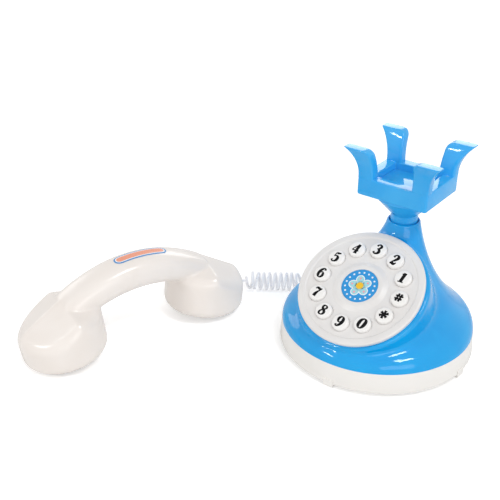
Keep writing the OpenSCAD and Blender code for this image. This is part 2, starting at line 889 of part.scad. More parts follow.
// One horn at the right back corner, as a side view crossed with an end view
module horn() {
    half_l = cradle_l / 2;
    half_w = cradle_w / 2;
    corner_z = horn_h - horn_corner;
    corner_rise = corner_z + horn_corner * sin(horn_in_lean) - deck_h + 1;
    corner_x = horn_gap + corner_rise * tan(horn_in_lean) + horn_corner * cos(horn_in_lean);
    side_view = concat(
        [[horn_gap, 0], [half_l, 0]],
        [for (i = [0 : horn_steps])
            let (z = mix(horn_z0, horn_h, i / horn_steps))
            [half_l + arc_out(horn_reach, horn_z0, horn_h, z), z]],
        [for (i = [0 : horn_steps])
            let (a = mix(90, 180 - horn_in_lean, i / horn_steps))
            [corner_x + horn_corner * cos(a), corner_z + horn_corner * sin(a)]],
        [[horn_gap, deck_h - 1]]
    );
    end_view = concat(
        [for (i = [0 : horn_steps])
            let (z = mix(horn_z0, horn_h + eps, i / horn_steps))
            [half_w + arc_out(horn_lean, horn_z0, horn_h + eps, z), z]],
        [for (i = [horn_steps : -1 : 0])
            let (
                z = mix(deck_h - 1, horn_h + eps, i / horn_steps),
                w = rim_w + horn_lean - horn_tip
            )
            [half_w - rim_w + arc_out(w, deck_h - 1, horn_h + eps, z), z]],
        [[half_w - rim_w, 0], [half_w, 0]]
    );
    intersection() {
        translate([0, far / 2, 0])
            rotate([90, 0, 0])
                linear_extrude(far)
                    polygon(side_view);
        translate([-far / 2, 0, 0])
            rotate([90, 0, 90])
                linear_extrude(far)
                    polygon(end_view);
    }
}

module cradle() {
    corner = 1.6;
    color(shell_blue)
    at_neck(cradle_z)
        difference() {
            union() {
                rounded_slab(cradle_l, cradle_w, deck_h, corner);
                intersection() {
                    for (x = [0, 1], y = [0, 1])
                        mirror([x, 0, 0])
                            mirror([0, y, 0])
                                horn();
                    translate([0, 0, -1])
                        rounded_slab(cradle_l + 2 * horn_reach + 2, cradle_w + 2 * horn_lean + 2, far, corner);
                }
            }
            translate([0, 0, deck_h - recess_d])
                slab(cradle_l - 2 * rim_w, cradle_w - 2 * rim_w, far);
            translate([0, 0, -far / 2])
                cylinder(r = screw_r + hole_gap, h = far, $fn = 32);
        }
}

module cradle_stem() {
    color(shell_blue)
    at_neck(0)
        difference() {
            union() {
                rotate_extrude()
                    polygon([
                        [0, collar_z], [collar_r, collar_z], [collar_r, flare_z],
                        [flare_r, cradle_z - flare_edge], [flare_r, cradle_z], [0, cradle_z]
                    ]);
                translate([0, 0, rod_z])
                    cylinder(r = rod_r, h = collar_z - rod_z + eps);
            }
            translate([0, 0, clip_z])
                ring(rod_r + 1, rod_r - groove_d, clip_t);
            translate([0, 0, cradle_z - stem_screw_in - 1])
                cylinder(r = screw_r + thread_gap, h = far, $fn = 32);
        }
}

module stem_screw() {
    color(steel)
    at_neck(cradle_z + deck_h - recess_d + 1.6)
        mirror([0, 0, 1])
            screw(1.6 + deck_h - recess_d + stem_screw_in, 1.6 - thread_gap);
}

module stem_clip() {
    color(steel)
    at_neck(clip_z + thread_gap)
        ring(clip_r, rod_r - groove_d + thread_gap, clip_t - 2 * thread_gap);
}

// Handset pieces, about the middle of the handset, with the cord at the +X end

function handle_top(x) = mix(crest_h, handle_end, pow(x / handle_half, 2));
module handle(t) {
    power = 0.8;
    rings = [for (i = [0 : handle_rings])
        let (x = mix(-handle_half, handle_half, i / handle_rings))
        [for (k = [0 : handle_sides - 1])
            let (a = 360 * k / handle_sides)
            [
                x,
                (handle_w / 2 - t) * sign(cos(a)) * pow(abs(cos(a)), power),
                handle_top(x) - handle_t / 2
                    + (handle_t / 2 - t) * sign(sin(a)) * pow(abs(sin(a)), power)
            ]]];
    points = [for (r = rings) each r];
    n = handle_sides;
    one = [for (i = [0 : handle_rings - 1], k = [0 : n - 1])
        [i * n + k, (i + 1) * n + k, i * n + (k + 1) % n]];
    two = [for (i = [0 : handle_rings - 1], k = [0 : n - 1])
        [i * n + (k + 1) % n, (i + 1) * n + k, (i + 1) * n + (k + 1) % n]];
    near = [[for (k = [0 : n - 1]) k]];
    end = [[for (k = [n - 1 : -1 : 0]) handle_rings * n + k]];
    polyhedron(points, concat(one, two, near, end));
}

// A roof with a straight ridge through the origin that falls by the angle fall towards +X
module roof(fall) {
    rotate([0, fall, 0])
        rotate([90, 0, 90])
            translate([0, 0, -far / 2])
                linear_extrude(far)
                    polygon([
                        [-far, -far * tan(roof_fall)], [0, 0], [far, -far * tan(roof_fall)],
                        [far, -2 * far], [-far, -2 * far]
                    ]);
}

module cap(t) {
    intersection() {
        translate([handle_half, 0, cap_lift])
            rotate([0, cap_lean, 0])
                rotate_extrude()
                    polygon(concat(
                        [[0, t], [cap_r - cap_round, t]],
                        [for (a = [-75 : 15 : 0])
                            [
                                cap_r - cap_round + (cap_round - t) * cos(a),
                                cap_round + (cap_round - t) * sin(a)
                            ]],
                        [[cap_r - t, cap_drum_h], [0, cap_drum_h]]
                    ));
        translate([handle_half, 0, ridge_h - t])
            roof(ridge_fall);
        translate([handle_half, 0, ridge_h - t])
            roof(-inner_fall);
    }
}

module handset_solid(t) {
    handle(t);
    cap(t);
    mirror([1, 0, 0])
        cap(t);
}

// Everything above the parting line, lifted by gap
module above_parting(gap) {
    inner = handle_half - cap_r * 0.75;
    outer = handle_half + cap_r + 5;
    steps = 10;
    translate([0, far / 2, 0])
        rotate([90, 0, 0])
            linear_extrude(far)
                polygon(concat(
                    [[outer, far], [-outer, far], [-outer, part_h + gap], [-handle_half, part_h + gap]],
                    [for (i = [-steps : steps])
                        let (x = inner * i / steps)
                        [x, handle_top(x) - handle_t * 0.55 + gap]],
                    [[handle_half, part_h + gap], [outer, part_h + gap]]
                ));
}

handset_column_r = screw_head_r + 1.2;
handset_screw_z = cap_lift + 2.4;

module handset_columns() {
    for (side = [0, 1])
        mirror([side, 0, 0])
            intersection() {
                translate([handle_half, 0, 0])
                    cylinder(r = handset_column_r, h = ridge_h, $fn = 32);
                cap(handset_wall / 2);
            }
}

module handset_holes(grip) {
    for (side = [-1, 1])
        translate([side * handle_half, 0, 0]) {
            cylinder(r = screw_head_r + hole_gap, h = handset_screw_z, $fn = 32);
            cylinder(r = screw_r + grip, h = part_h + 12, $fn = 32);
        }
}

module handset_upper() {
    color(handset_white)
    at_handset()
        difference() {
            intersection() {
                union() {
                    difference() {
                        handset_solid(0);
                        handset_solid(handset_wall);
                    }
                    handset_columns();
                }
                above_parting(thread_gap);
            }
            handset_holes(thread_gap);
        }
}

module handset_lower() {
    color(handset_white)
    difference() {
        at_handset()
            difference() {
                union() {
                    difference() {
                        handset_solid(0);
                        handset_solid(handset_wall);
                    }
                    handset_columns();
                }
                above_parting(0);
                handset_holes(hole_gap);
            }
        at_handset_bush()
            translate([0, 0, -8])
                cylinder(r = bush_r + hole_gap, h = 12, $fn = 32);
    }
}

module handset_screws() {
    color(steel)
    at_handset()
        for (side = [-1, 1])
            translate([side * handle_half, 0, handset_screw_z - 1.6])
                screw(part_h + 10 - handset_screw_z, 1.6 - thread_gap);
}

module handset_label() {
    color("#f08a62")
    at_handset()
        difference() {
            intersection() {
                handle(-label_t);
                translate([label_at, 0, 0]) {
                    slab(label_l - label_w, label_w, far);
                    for (side = [-1, 1])
                        translate([side * (label_l - label_w) / 2, 0, 0])
                            cylinder(r = label_w / 2, h = far, $fn = 32);
                }
                translate([0, 0, handle_end + far / 2])
                    cube([far, far, far], center = true);
            }
            handle(-eps);
        }
}

lower_case();
body_shell();
battery_door();
door_screw();
case_screws();
battery_cells();
battery_contacts();
speaker_frame();
speaker_cone();
speaker_magnet();
dial_plate();
dial_badge();
key_mat();
key_board();
board_screws();
stem_guide();
hook_switch();
hook_spring();
base_cord_gland();
handset_cord();
cradle();
cradle_stem();
stem_screw();
stem_clip();
handset_upper();
handset_lower();
handset_screws();
handset_cord_gland();
handset_label();
key_cap(1);  // key_1
key_cap(2);  // key_2
key_cap(3);  // key_3
key_cap(4);  // key_4
key_cap(5);  // key_5
key_cap(6);  // key_6
key_cap(7);  // key_7
key_cap(8);  // key_8
key_cap(9);  // key_9
key_cap(10);  // key_0
key_cap(11);  // key_star
key_cap(0);  // key_hash
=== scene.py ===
# %% [markdown]
# A toy cradle telephone in three colours of plastic: a blue bell on a white ring, a white dial with
# push keys, and a pearly handset on a clear curly cord. The solid model gives every place and size.
# This script dresses it: it keeps the solids that are right as they are, and rebuilds the ones whose
# look depends on soft edges and smooth curves. Lengths are in millimetres, apart from those of the
# floor and the lamps, which are in metres.

# %% Load the solid model
import math
import bmesh
import bpy
from mathutils import Matrix, Vector


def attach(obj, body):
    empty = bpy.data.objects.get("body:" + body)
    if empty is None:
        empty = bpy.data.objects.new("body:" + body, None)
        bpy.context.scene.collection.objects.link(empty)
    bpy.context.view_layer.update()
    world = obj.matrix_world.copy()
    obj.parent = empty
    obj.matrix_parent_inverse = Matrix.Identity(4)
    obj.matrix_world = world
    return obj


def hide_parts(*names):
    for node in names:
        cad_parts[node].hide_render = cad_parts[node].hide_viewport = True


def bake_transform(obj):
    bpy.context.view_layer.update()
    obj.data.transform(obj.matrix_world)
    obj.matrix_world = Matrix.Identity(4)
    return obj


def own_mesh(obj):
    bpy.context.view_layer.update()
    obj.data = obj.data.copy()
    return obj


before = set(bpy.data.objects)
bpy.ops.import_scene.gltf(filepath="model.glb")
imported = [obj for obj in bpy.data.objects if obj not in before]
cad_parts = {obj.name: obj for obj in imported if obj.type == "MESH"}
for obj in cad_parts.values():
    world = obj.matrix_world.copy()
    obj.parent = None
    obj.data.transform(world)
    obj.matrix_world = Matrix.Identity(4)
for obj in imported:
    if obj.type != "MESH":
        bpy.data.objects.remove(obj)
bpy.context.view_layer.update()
scene = bpy.context.scene
scene.view_settings.view_transform = "Standard"
MM = 0.001

# %% [markdown]
# The camera stands where the photographer's did: about half a metre away, in front and to the right,
# looking down on the dial. Its place was solved from the ring's two edges, the dial's oval, three corners
# of the cradle and the neck. A camera can be turned with three angles, but a direction to look along says
# more to a reader.

# %% Camera
def add_object(name, data):
    """Put a new object into the scene, at the origin."""
    made = bpy.data.objects.new(name, data)
    scene.collection.objects.link(made)
    return made


eye = Vector((187.508, -360.642, 278.504)) * MM
look = Vector((-0.538853, 0.691158, -0.481600))
camera = add_object("photo_camera", bpy.data.cameras.new("photo_camera"))
camera.data.lens = 58.83
camera.data.sensor_width = 36
camera.data.clip_start = 0.01
camera.location = eye
camera.rotation_euler = look.to_track_quat("-Z", "Y").to_euler()
scene.camera = camera
print("camera at", [round(x, 3) for x in eye])

# %% [markdown]
# Every finish below is a small tree of nodes. Colours are written as the hex values that a colour
# picker shows, and Blender computes in linear light, so one function turns the one into the other. A
# second one adds a node, with its settings, its values and what feeds it, in one readable line.

# %% Colour and node helpers
PER_METRE = 1 / MM  # a pattern's scale is this, divided by its size in millimetres


def linear(hex_colour):
    """An sRGB hex value as a linear colour with alpha."""
    parts = [int(hex_colour[i:i + 2], 16) / 255 for i in (1, 3, 5)]
    return [c / 12.92 if c <= 0.04045 else ((c + 0.055) / 1.055) ** 2.4 for c in parts] + [1.0]


def set_inputs(tree, node, inputs):
    """Give a node's inputs their values, or link them to the sockets that feed them."""
    for socket, value in inputs.items():
        if isinstance(value, bpy.types.NodeSocket):
            tree.links.new(value, node.inputs[socket])
        else:
            node.inputs[socket].default_value = value


def add_node(tree, kind, inputs=None, **settings):
    """Add one node. Settings are its properties, and inputs its values or the sockets that feed it."""
    made = tree.nodes.new(kind)
    for name, value in settings.items():
        setattr(made, name, value)
    set_inputs(tree, made, inputs or {})
    return made


def new_material(name, **values):
    """A material with one Principled shader, whose constant values sit on its own sockets."""
    material = bpy.data.materials.new(name)
    material.use_nodes = True
    material.cycles.emission_sampling = "NONE"  # a faint glow is not a lamp, and searching it adds grain
    tree = material.node_tree
    shader = tree.nodes["Principled BSDF"]
    set_inputs(tree, shader, {socket.replace("_", " "): value for socket, value in values.items()})
    return material, tree, shader


def clouded(name, size, detail, colours, roughness, **values):
    """A finish whose colour and roughness follow one noise, with clouds of a size in millimetres."""
    material, tree, shader = new_material(name, **values)
    place = add_node(tree, "ShaderNodeTexCoord").outputs["Object"]
    noise = add_node(
        tree, "ShaderNodeTexNoise", {"Vector": place, "Scale": PER_METRE / size, "Detail": detail})
    cloud = noise.outputs["Fac"]
    tint = add_node(
        tree, "ShaderNodeMix", {"Factor": cloud, "A": linear(colours[0]), "B": linear(colours[1])},
        data_type="RGBA")
    rough = add_node(
        tree, "ShaderNodeMapRange", {"Value": cloud, "To Min": roughness[0], "To Max": roughness[1]})
    set_inputs(tree, shader, {"Base Color": tint.outputs["Result"], "Roughness": rough.outputs["Result"]})
    return material


print("white is", linear("#ffffff")[:3])

# %% [markdown]
# The cord is milky clear PVC, wound warm round a rod so that it keeps its curls. It is nearly as white
# as the table, so part of the light passes through it and the rest comes back as a soft white. A faint
# white glow is painted on it too: painted light, in place of the light that shines through the tube.
# The faint cloudiness of cheap tube is a slow noise on its colour and roughness, about 3 mm long.

# %% Clear PVC
# Emission Strength paints a faint white glow on the cord: painted light, not a lamp.
cord_pvc_painted_glow = clouded(
    "clear_pvc_extruded_painted_glow", 3, 3.0, ("#f0f2f8", "#fbfbfd"), (0.2, 0.4), IOR=1.4, Transmission_Weight=0.15,
    Emission_Strength=0.08)
print("made", cord_pvc_painted_glow.name)

# %% [markdown]
# The curly cord runs from a bush in the handset's rear cap to a bush in the ring of the base. It could
# be a curve with a bevel, but it has to stretch when the handset is lifted, so its tube is made a mesh.
# Its middle line is one smooth spline through a few knots, and the curls are wound round that line,
# growing from nothing at each end.

# %% Route of the curly cord
handset_at = Vector((-117.5, -79.3, 0))
handset_turn, gland_turn = math.radians(72.3), math.radians(165)
cap_half, cap_r, cap_round, cap_lean = 45.75, 24.4, 5.0, math.radians(7)
cap_lift = (cap_r - cap_round) * math.sin(cap_lean) + cap_round * (1 - math.cos(cap_lean))
cord_d, curl_d, curls, gland_z = 1.8, 12.0, 10, 8.0
seam_z, base_r, base_flare, ring_h = 14.0, 55.0, 0.8, 12.0

thread_gap, bush_out, bush_flange = 0.05, 2.0, cord_d / 2 + 3.1
bush_up = (gland_z - cap_lift + cap_r * math.sin(cap_lean)) / math.cos(cap_lean)
handset_bush = cap_half + cap_r * math.cos(cap_lean) + bush_up * math.sin(cap_lean) + thread_gap
along = Vector((math.cos(handset_turn), math.sin(handset_turn), 0))
handset_out = along * math.cos(cap_lean) - Vector((0, 0, math.sin(cap_lean)))
base_bush = base_r + base_flare * (seam_z - gland_z + bush_flange) / ring_h + thread_gap
base_out = Vector((math.cos(gland_turn), math.sin(gland_turn), 0))
cord_start = handset_at + Vector((0, 0, gland_z)) + along * handset_bush + handset_out * bush_out
cord_end = base_out * (base_bush + bush_out) + Vector((0, 0, gland_z))
cord_lead, end_knot, lay_z = cord_d + 0.4, 4, curl_d / 2 + 0.2
knots = [cord_start - handset_out * end_knot, cord_start + handset_out * cord_lead]
knots += [Vector(p) for p in (
    (-91.4, -2.2, 6.8), (-86.2, 1.7, lay_z), (-81, 5.6, lay_z), (-75.8, 9.4, lay_z),
    (-70.6, 13.1, lay_z), (-65.2, 16.6, 7))]
knots += [cord_end + base_out * cord_lead, cord_end - base_out * end_knot]
spans = len(knots) - 3
curl_from, curl_to, grow_turns = 0.4 / spans, 1 - 0.9 / spans, 0.9


def smooth(s):
    return s * s * (3 - 2 * s)


def cord_middle(u):
    """A point of the cord's middle line, on a spline that passes through the knots."""
    x = min(u * spans, spans - 0.0001)
    i, t = int(x), x - int(x)
    a, b, c, d = knots[i:i + 4]
    bend, twist = 2 * a - 5 * b + 4 * c - d, 3 * b - a - 3 * c + d
    return 0.5 * (2 * b + (c - a) * t + bend * t * t + twist * t ** 3)


def cord_point(u):
    """A point of the wound cord: the middle line, and round it the curls."""
    part = min(1, max(0, (u - curl_from) / (curl_to - curl_from)))
    reach = (curl_d - cord_d) / 2 * smooth(min(1, min(part, 1 - part) * curls / grow_turns))
    forward = (cord_middle(min(1, u + 0.01)) - cord_middle(max(0, u - 0.01))).normalized()
    side = forward.cross(Vector((0, 0, 1))).normalized()
    angle = 2 * math.pi * curls * part
    return cord_middle(u) + reach * (side * math.cos(angle) + side.cross(forward) * math.sin(angle))


turn_steps = 28
steps = turn_steps * (curls + 3)
route = [cord_start] + [cord_point(i / steps) for i in range(steps + 1)] + [cord_end]

# %% Curly cord
def drawn_mesh(made):
    """The mesh of an object as its curve or its modifiers draw it."""
    return bpy.data.meshes.new_from_object(made.evaluated_get(bpy.context.evaluated_depsgraph_get()))


def round_line(name, radius, resolution):
    """A curve that is drawn as a round tube with closed ends."""
    line = bpy.data.curves.new(name, "CURVE")
    line.dimensions = "3D"
    line.bevel_depth = radius
    line.bevel_resolution = resolution
    line.use_fill_caps = True
    return line


def line_mesh(line):
    """The tube of a curve, as a mesh."""
    wire = add_object(line.name, line)
    mesh = drawn_mesh(wire)
    bpy.data.objects.remove(wire)
    return mesh


def swept_tube(name, points, thickness, material):
    """A round tube along points in millimetres, as a piece in metres."""
    line = round_line(name + "_line", thickness / 2 * MM, 3)
    spline = line.splines.new("POLY")
    spline.points.add(len(points) - 1)
    for point, place in zip(spline.points, points):
        point.co = (*(place * MM), 1)
    mesh = line_mesh(line)
    mesh.shade_smooth()
    mesh.materials.clear()
    mesh.materials.append(material)
    return add_object(name, mesh)


curly_cord = swept_tube("curly_cord", route, cord_d, cord_pvc_painted_glow)
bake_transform(curly_cord)
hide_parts("handset_cord")

# %% [markdown]
# Nearly all of the toy is ABS, injection-moulded in polished steel moulds. The eye sees a clear sheen,
# a very fine orange peel left by the mould, slow streaks where the colour flowed in, and here and there
# a slightly duller patch from handling. Those are three noises: about 25 mm for the flow, 6 mm for the
# handling and 0.7 mm for the peel, which is really finer but would not show in the render.

# %% Moulded ABS
def moulded_abs(name, colour, streak, roughness, peel=0.02, **values):
    """Glossy moulded ABS: colour with streaks of flow, uneven gloss and a trace of orange peel."""
    material, tree, shader = new_material(name, IOR=1.53, **values)
    place = add_node(tree, "ShaderNodeTexCoord").outputs["Object"]
    flow = add_node(
        tree, "ShaderNodeTexNoise",
        {"Vector": place, "Scale": PER_METRE / 25, "Detail": 2.0, "Distortion": 0.8})
    depth = add_node(
        tree, "ShaderNodeMapRange", {"Value": flow.outputs["Fac"], "From Min": 0.35, "From Max": 0.7})
    tint = add_node(
        tree, "ShaderNodeMix",
        {"Factor": depth.outputs["Result"], "A": linear(colour), "B": linear(streak)}, data_type="RGBA")
    wear = add_node(tree, "ShaderNodeTexNoise", {"Vector": place, "Scale": PER_METRE / 6, "Detail": 4.0})
    rough = add_node(
        tree, "ShaderNodeMapRange",
        {"Value": wear.outputs["Fac"], "To Min": roughness * 0.8, "To Max": roughness * 1.3})
    grain = add_node(tree, "ShaderNodeTexNoise", {"Vector": place, "Scale": PER_METRE / 0.7, "Detail": 1.0})
    bump = add_node(
        tree, "ShaderNodeBump", {"Height": grain.outputs["Fac"], "Strength": peel, "Distance": 0.2 * MM})
    set_inputs(tree, shader, {
        "Base Color": tint.outputs["Result"], "Roughness": rough.outputs["Result"],
        "Normal": bump.outputs["Normal"]})
    return material


blue_abs = moulded_abs("blue_abs_moulded", "#009ee4", "#08a7ea", 0.07, Specular_IOR_Level=0.4)
# The cradle is the same blue ABS as the body, painted a lighter blue: painted light, for the sheen its horns
# and rims catch.
cradle_abs_painted_lighter = moulded_abs("cradle_blue_abs_painted_lighter", "#2aa6ec", "#3cb0f0", 0.07, Specular_IOR_Level=0.4)
print("made", blue_abs.name, "and", cradle_abs_painted_lighter.name)

# %% [markdown]
# Three ways of working come back all through this script, so they are set down once. Round pieces are
# turned: a half outline is spun about an axis, as on a lathe. Solids are joined and cut with Boolean
# modifiers, which are baked at once. And a finished bmesh is scaled to metres, shaded smooth except
# along true corners, and set to ride on its body.

# %% Turning
def turned(bm, profile, steps=96, place=Matrix(), closed=False):
    """Spin an outline of (radius, height) points once round the Z axis, then put it in its place."""
    verts = [bm.verts.new((r, 0, h)) for r, h in profile]
    pairs = list(zip(verts, verts[1:])) + ([(verts[-1], verts[0])] if closed else [])
    edges = [bm.edges.new(pair) for pair in pairs]
    before = set(bm.verts) - set(verts)
    bmesh.ops.spin(
        bm, geom=verts + edges, cent=(0, 0, 0), axis=(0, 0, 1), angle=2 * math.pi, steps=steps,
        use_merge=True)
    bmesh.ops.transform(bm, matrix=place, verts=[v for v in bm.verts if v not in before])


def arc(cx, cy, r, start, end, count):
    """Points of a circle's arc, with the angles in degrees."""
    turn = [math.radians(start + (end - start) * i / count) for i in range(count + 1)]
    return [(cx + r * math.cos(a), cy + r * math.sin(a)) for a in turn]


def tube(inner, outer, low, high):
    """The half outline of a tube, or of a rod if its inner radius is 0."""
    return [(inner, low), (outer, low), (outer, high), (inner, high)]


def around(angle, reach, height=0):
    """A place at some distance from the Z axis, turned round it by an angle in degrees."""
    return Matrix.Rotation(math.radians(angle), 4, "Z") @ Matrix.Translation((reach, 0, height))


print("a tube's outline has", len(tube(1, 2, 0, 3)), "points")

# %% Joining and cutting
def clean(bm):
    """Merge doubled points, then point all faces outwards."""
    bmesh.ops.remove_doubles(bm, verts=bm.verts, dist=0.0005)
    bmesh.ops.recalc_face_normals(bm, faces=bm.faces)


def working_solid(bm, name):
    """An unfinished solid, in millimetres, for the Boolean and Remesh modifiers."""
    clean(bm)
    mesh = bpy.data.meshes.new(name)
    bm.to_mesh(mesh)
    bm.free()
    return add_object(name, mesh)


def turned_solid(name, profile, steps=112, place=Matrix()):
    """A working solid that is turned in one go."""
    bm = bmesh.new()
    turned(bm, profile, steps, place)
    return working_solid(bm, name)


def as_bmesh(made):
    """A bmesh of a working solid, which is used up."""
    bm = bmesh.new()
    bm.from_mesh(made.data)
    bpy.data.objects.remove(made)
    return bm


def bake(made):
    """Replace a mesh by what its modifiers make of it."""
    baked = drawn_mesh(made)
    made.modifiers.clear()
    made.data = baked


def combine(made, other, operation):
    """Join, cut or cross a working solid with another one, which is used up."""
    step = made.modifiers.new(operation, "BOOLEAN")
    step.operation = operation
    step.solver = "EXACT"
    step.object = other
    bake(made)
    bpy.data.objects.remove(other)


def remeshed(made, voxel):
    """A bmesh of even small faces over a working solid, which is used up."""
    step = made.modifiers.new("even_faces", "REMESH")
    step.mode = "VOXEL"
    step.voxel_size = voxel
    bake(made)
    return as_bmesh(made)


print("solids are joined with the exact solver")

# %% Shaping and finishing
def block(length, width, height, bottom=0):
    """A bmesh box on the Z axis, that stands at a bottom height."""
    bm = bmesh.new()
    place = Matrix.Translation((0, 0, bottom + height / 2))
    bmesh.ops.create_cube(bm, size=1, matrix=place @ Matrix.Diagonal((length, width, height, 1)))
    return bm


def sunk(bm, up, border, depth):
    """Inset the top of a box, or its underside if up is -1, and push it in."""
    faces = [f for f in bm.faces if f.normal.z * up > 0.9]
    bmesh.ops.inset_region(bm, faces=faces, thickness=border, use_even_offset=True)
    floor = bmesh.ops.extrude_discrete_faces(bm, faces=faces)["faces"][0]
    bmesh.ops.translate(bm, vec=(0, 0, -up * depth), verts=list(floor.verts))


def sharp_edges(bm, degrees):
    return [e for e in bm.edges if e.calc_face_angle(0) > math.radians(degrees)]


def round_edges(bm, edges, offset, segments):
    bmesh.ops.bevel(
        bm, geom=edges, offset=offset, segments=segments, profile=0.5, affect="EDGES", material=-1)


def soften(bm, verts, times):
    for _ in range(times):
        bmesh.ops.smooth_vert(
            bm, verts=verts, factor=0.5, use_axis_x=True, use_axis_y=True, use_axis_z=True)


def finish_piece(bm, name, material, body, slot, *nodes, corner=38, merge=True):
    """Scale a bmesh to metres, shade it, give it its finish and set it on its body."""
    if merge:
        clean(bm)
    bmesh.ops.scale(bm, vec=(MM, MM, MM), verts=bm.verts)
    for face in bm.faces:
        face.smooth = True
    for edge in bm.edges:
        edge.smooth = len(edge.link_faces) != 2 or edge.calc_face_angle(0) < math.radians(corner)
    mesh = bpy.data.meshes.new(name)
    bm.to_mesh(mesh)
    bm.free()
    mesh.materials.append(material)
    piece = add_object(name, mesh)
    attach(piece, body)
    if nodes:
        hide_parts(*nodes)
    return piece


print("lathe, joins and finish are ready")

# %% [markdown]
# The blue shell is a bell that leans back into a neck, with a round boss across it that carries the
# dial. The bell can't be turned in one go, because its neck stands behind the middle of its foot, so a
# circle is extruded upwards ring by ring, and each ring is scaled and moved back. The boss is turned on
# the dial's axis. The two are joined, remeshed evenly, and smoothed only along the line where they
# meet, which gives the soft hollow that the mould has there.

# %% Bell and boss
shell_h, neck_r, neck_back, shoulder_r = 55.5, 9.3, 23.0, 8.7
shoulder_turn, neck_slope = math.radians(58), math.radians(11)
bell_low, bell_high, shoulder_steps, bell_steps = 15, 22, 12, 30
neck_z, foot_z = seam_z + shell_h, seam_z - 4
dial_front, dial_up, dial_tilt = 22.4, 32, math.radians(33)
dial_place = Matrix.Translation((0, -dial_front, seam_z + dial_up)) @ Matrix.Rotation(dial_tilt, 4, "X")
dial_r, plate_t, boss_r, boss_rim, wall = 35.7, 3.5, 37.5, 1.7, 2.2
round_steps, far, room = 112, 90, 200


def bell_outline():
    """Radius and height of the bell: the shoulder's arc, then one long Bezier curve up to the neck."""
    turns = [shoulder_turn * i / shoulder_steps for i in range(shoulder_steps + 1)]
    shoulder = [
        (base_r - shoulder_r * (1 - math.cos(a)), seam_z + shoulder_r * math.sin(a)) for a in turns]
    foot = Vector(shoulder.pop())
    low = foot + bell_low * Vector((-math.sin(shoulder_turn), math.cos(shoulder_turn)))
    top = Vector((neck_r, neck_z))
    high = top + bell_high * Vector((math.sin(neck_slope), -math.cos(neck_slope)))
    curve = []
    for t in (i / bell_steps for i in range(bell_steps + 1)):
        s = 1 - t
        curve.append(tuple(foot * s ** 3 + low * 3 * t * s ** 2 + high * 3 * t * t * s + top * t ** 3))
    return shoulder + curve


def bell_back(z):
    return neck_back * smooth(min(1, max(0, (z - seam_z) / shell_h)))


def stacked(name, rings):
    """A working solid: a circle, extruded upwards through (radius, height) rings and closed at both ends."""
    radius, height = rings[0]
    back = bell_back(height)
    bm = bmesh.new()
    bmesh.ops.create_circle(
        bm, segments=round_steps, radius=radius, matrix=Matrix.Translation((0, back, height)))
    edges = list(bm.edges)
    ends = list(edges)
    for r, h in rings[1:]:
        grown = bmesh.ops.extrude_edge_only(bm, edges=edges)["geom"]
        ring = {g for g in grown if isinstance(g, bmesh.types.BMVert)}
        edges = [g for g in grown if isinstance(g, bmesh.types.BMEdge) and set(g.verts) <= ring]
        bmesh.ops.scale(
            bm, vec=(r / radius, r / radius, 1), space=Matrix.Translation((0, -back, 0)), verts=list(ring))
        bmesh.ops.translate(bm, vec=(0, bell_back(h) - back, h - height), verts=list(ring))
        radius, height, back = r, h, bell_back(h)
    bmesh.ops.holes_fill(bm, edges=ends + edges, sides=0)
    return working_solid(bm, name)


outline = bell_outline()
shell = stacked("shell_work", [(base_r, foot_z)] + outline)
boss = turned_solid(
    "boss_work",
    [(0, -far), (boss_r, -far)] + arc(boss_r - boss_rim, -plate_t - boss_rim, boss_rim, 0, 90, 8)
    + [(0, -plate_t)], round_steps, dial_place)
combine(boss, working_solid(block(room, room, room, foot_z), "ground_work"), "INTERSECT")
combine(shell, boss, "UNION")
print("bell and boss joined:", len(shell.data.polygons), "faces")

# %% [markdown]
# The joined solid gets even faces of 0.7 mm, so that smoothing works alike everywhere. Only the points
# close to both the bell and the boss are smoothed hard. Then the solid is hollowed to a 2.2 mm wall,
# opened for the dial, the stem and the base, and given the sleeve and screw posts that stand inside it.

# %% Soft join of bell and boss
bm = remeshed(shell, 0.7)
to_dial = dial_place.inverted()


def bell_radius(z):
    for (r0, z0), (r1, z1) in zip(outline, outline[1:]):
        if z0 <= z <= z1:
            return r0 + (r1 - r0) * (z - z0) / (z1 - z0)
    return base_r if z < seam_z else neck_r


def near_join(reach):
    """The points that lie within reach of both the bell and the boss."""
    found = []
    for v in bm.verts:
        on_dial = to_dial @ v.co
        off_boss = abs(math.hypot(on_dial.x, on_dial.y) - boss_r)
        if off_boss < reach and on_dial.z < -plate_t - 2:
            off_bell = abs(math.hypot(v.co.x, v.co.y - bell_back(v.co.z)) - bell_radius(v.co.z))
            if off_bell < reach:
                found.append(v)
    return found


soften(bm, list(bm.verts), 4)
for reach, times in ((7.0, 16), (5.0, 16), (3.0, 12)):
    soften(bm, near_join(reach), times)
shell = working_solid(bm, "shell_work")
print("softened shell:", len(shell.data.polygons), "faces")

# %% Blue body shell
cup_z, cup_floor, cup_r, cup_mouth, mouth_d = neck_z - 7, 2.5, 8.25, 8.75, 0.5
sleeve_r, sleeve_out, sleeve_low, sleeve_high = 7.4, 9.3, 42.5, 61
dial_open, post_at, post_bore, post_r, post_h = 31.0, 42, 1.55, 3.6, 7
at_neck = Matrix.Translation((0, neck_back, 0))
hollow = [(base_r - wall, seam_z - 8)] + [(r - wall, z) for r, z in outline if z < cup_z - cup_floor]
hollow = stacked("hollow_work", hollow)
pocket = tube(0, boss_r - wall, -far, -plate_t - wall)
combine(hollow, turned_solid("pocket_work", pocket, round_steps, dial_place), "UNION")
combine(shell, hollow, "DIFFERENCE")
cup = [(0, cup_z), (cup_r, cup_z), (cup_r, neck_z - mouth_d), (cup_mouth, neck_z), (cup_mouth, far), (0, far)]
for profile, place in (
        (tube(0, dial_open, -12, 4), dial_place), (cup, at_neck), (tube(0, sleeve_r, 30, 66), at_neck),
        (tube(0, far, -60, seam_z), Matrix())):
    combine(shell, turned_solid("cutter_work", profile, round_steps, place), "DIFFERENCE")

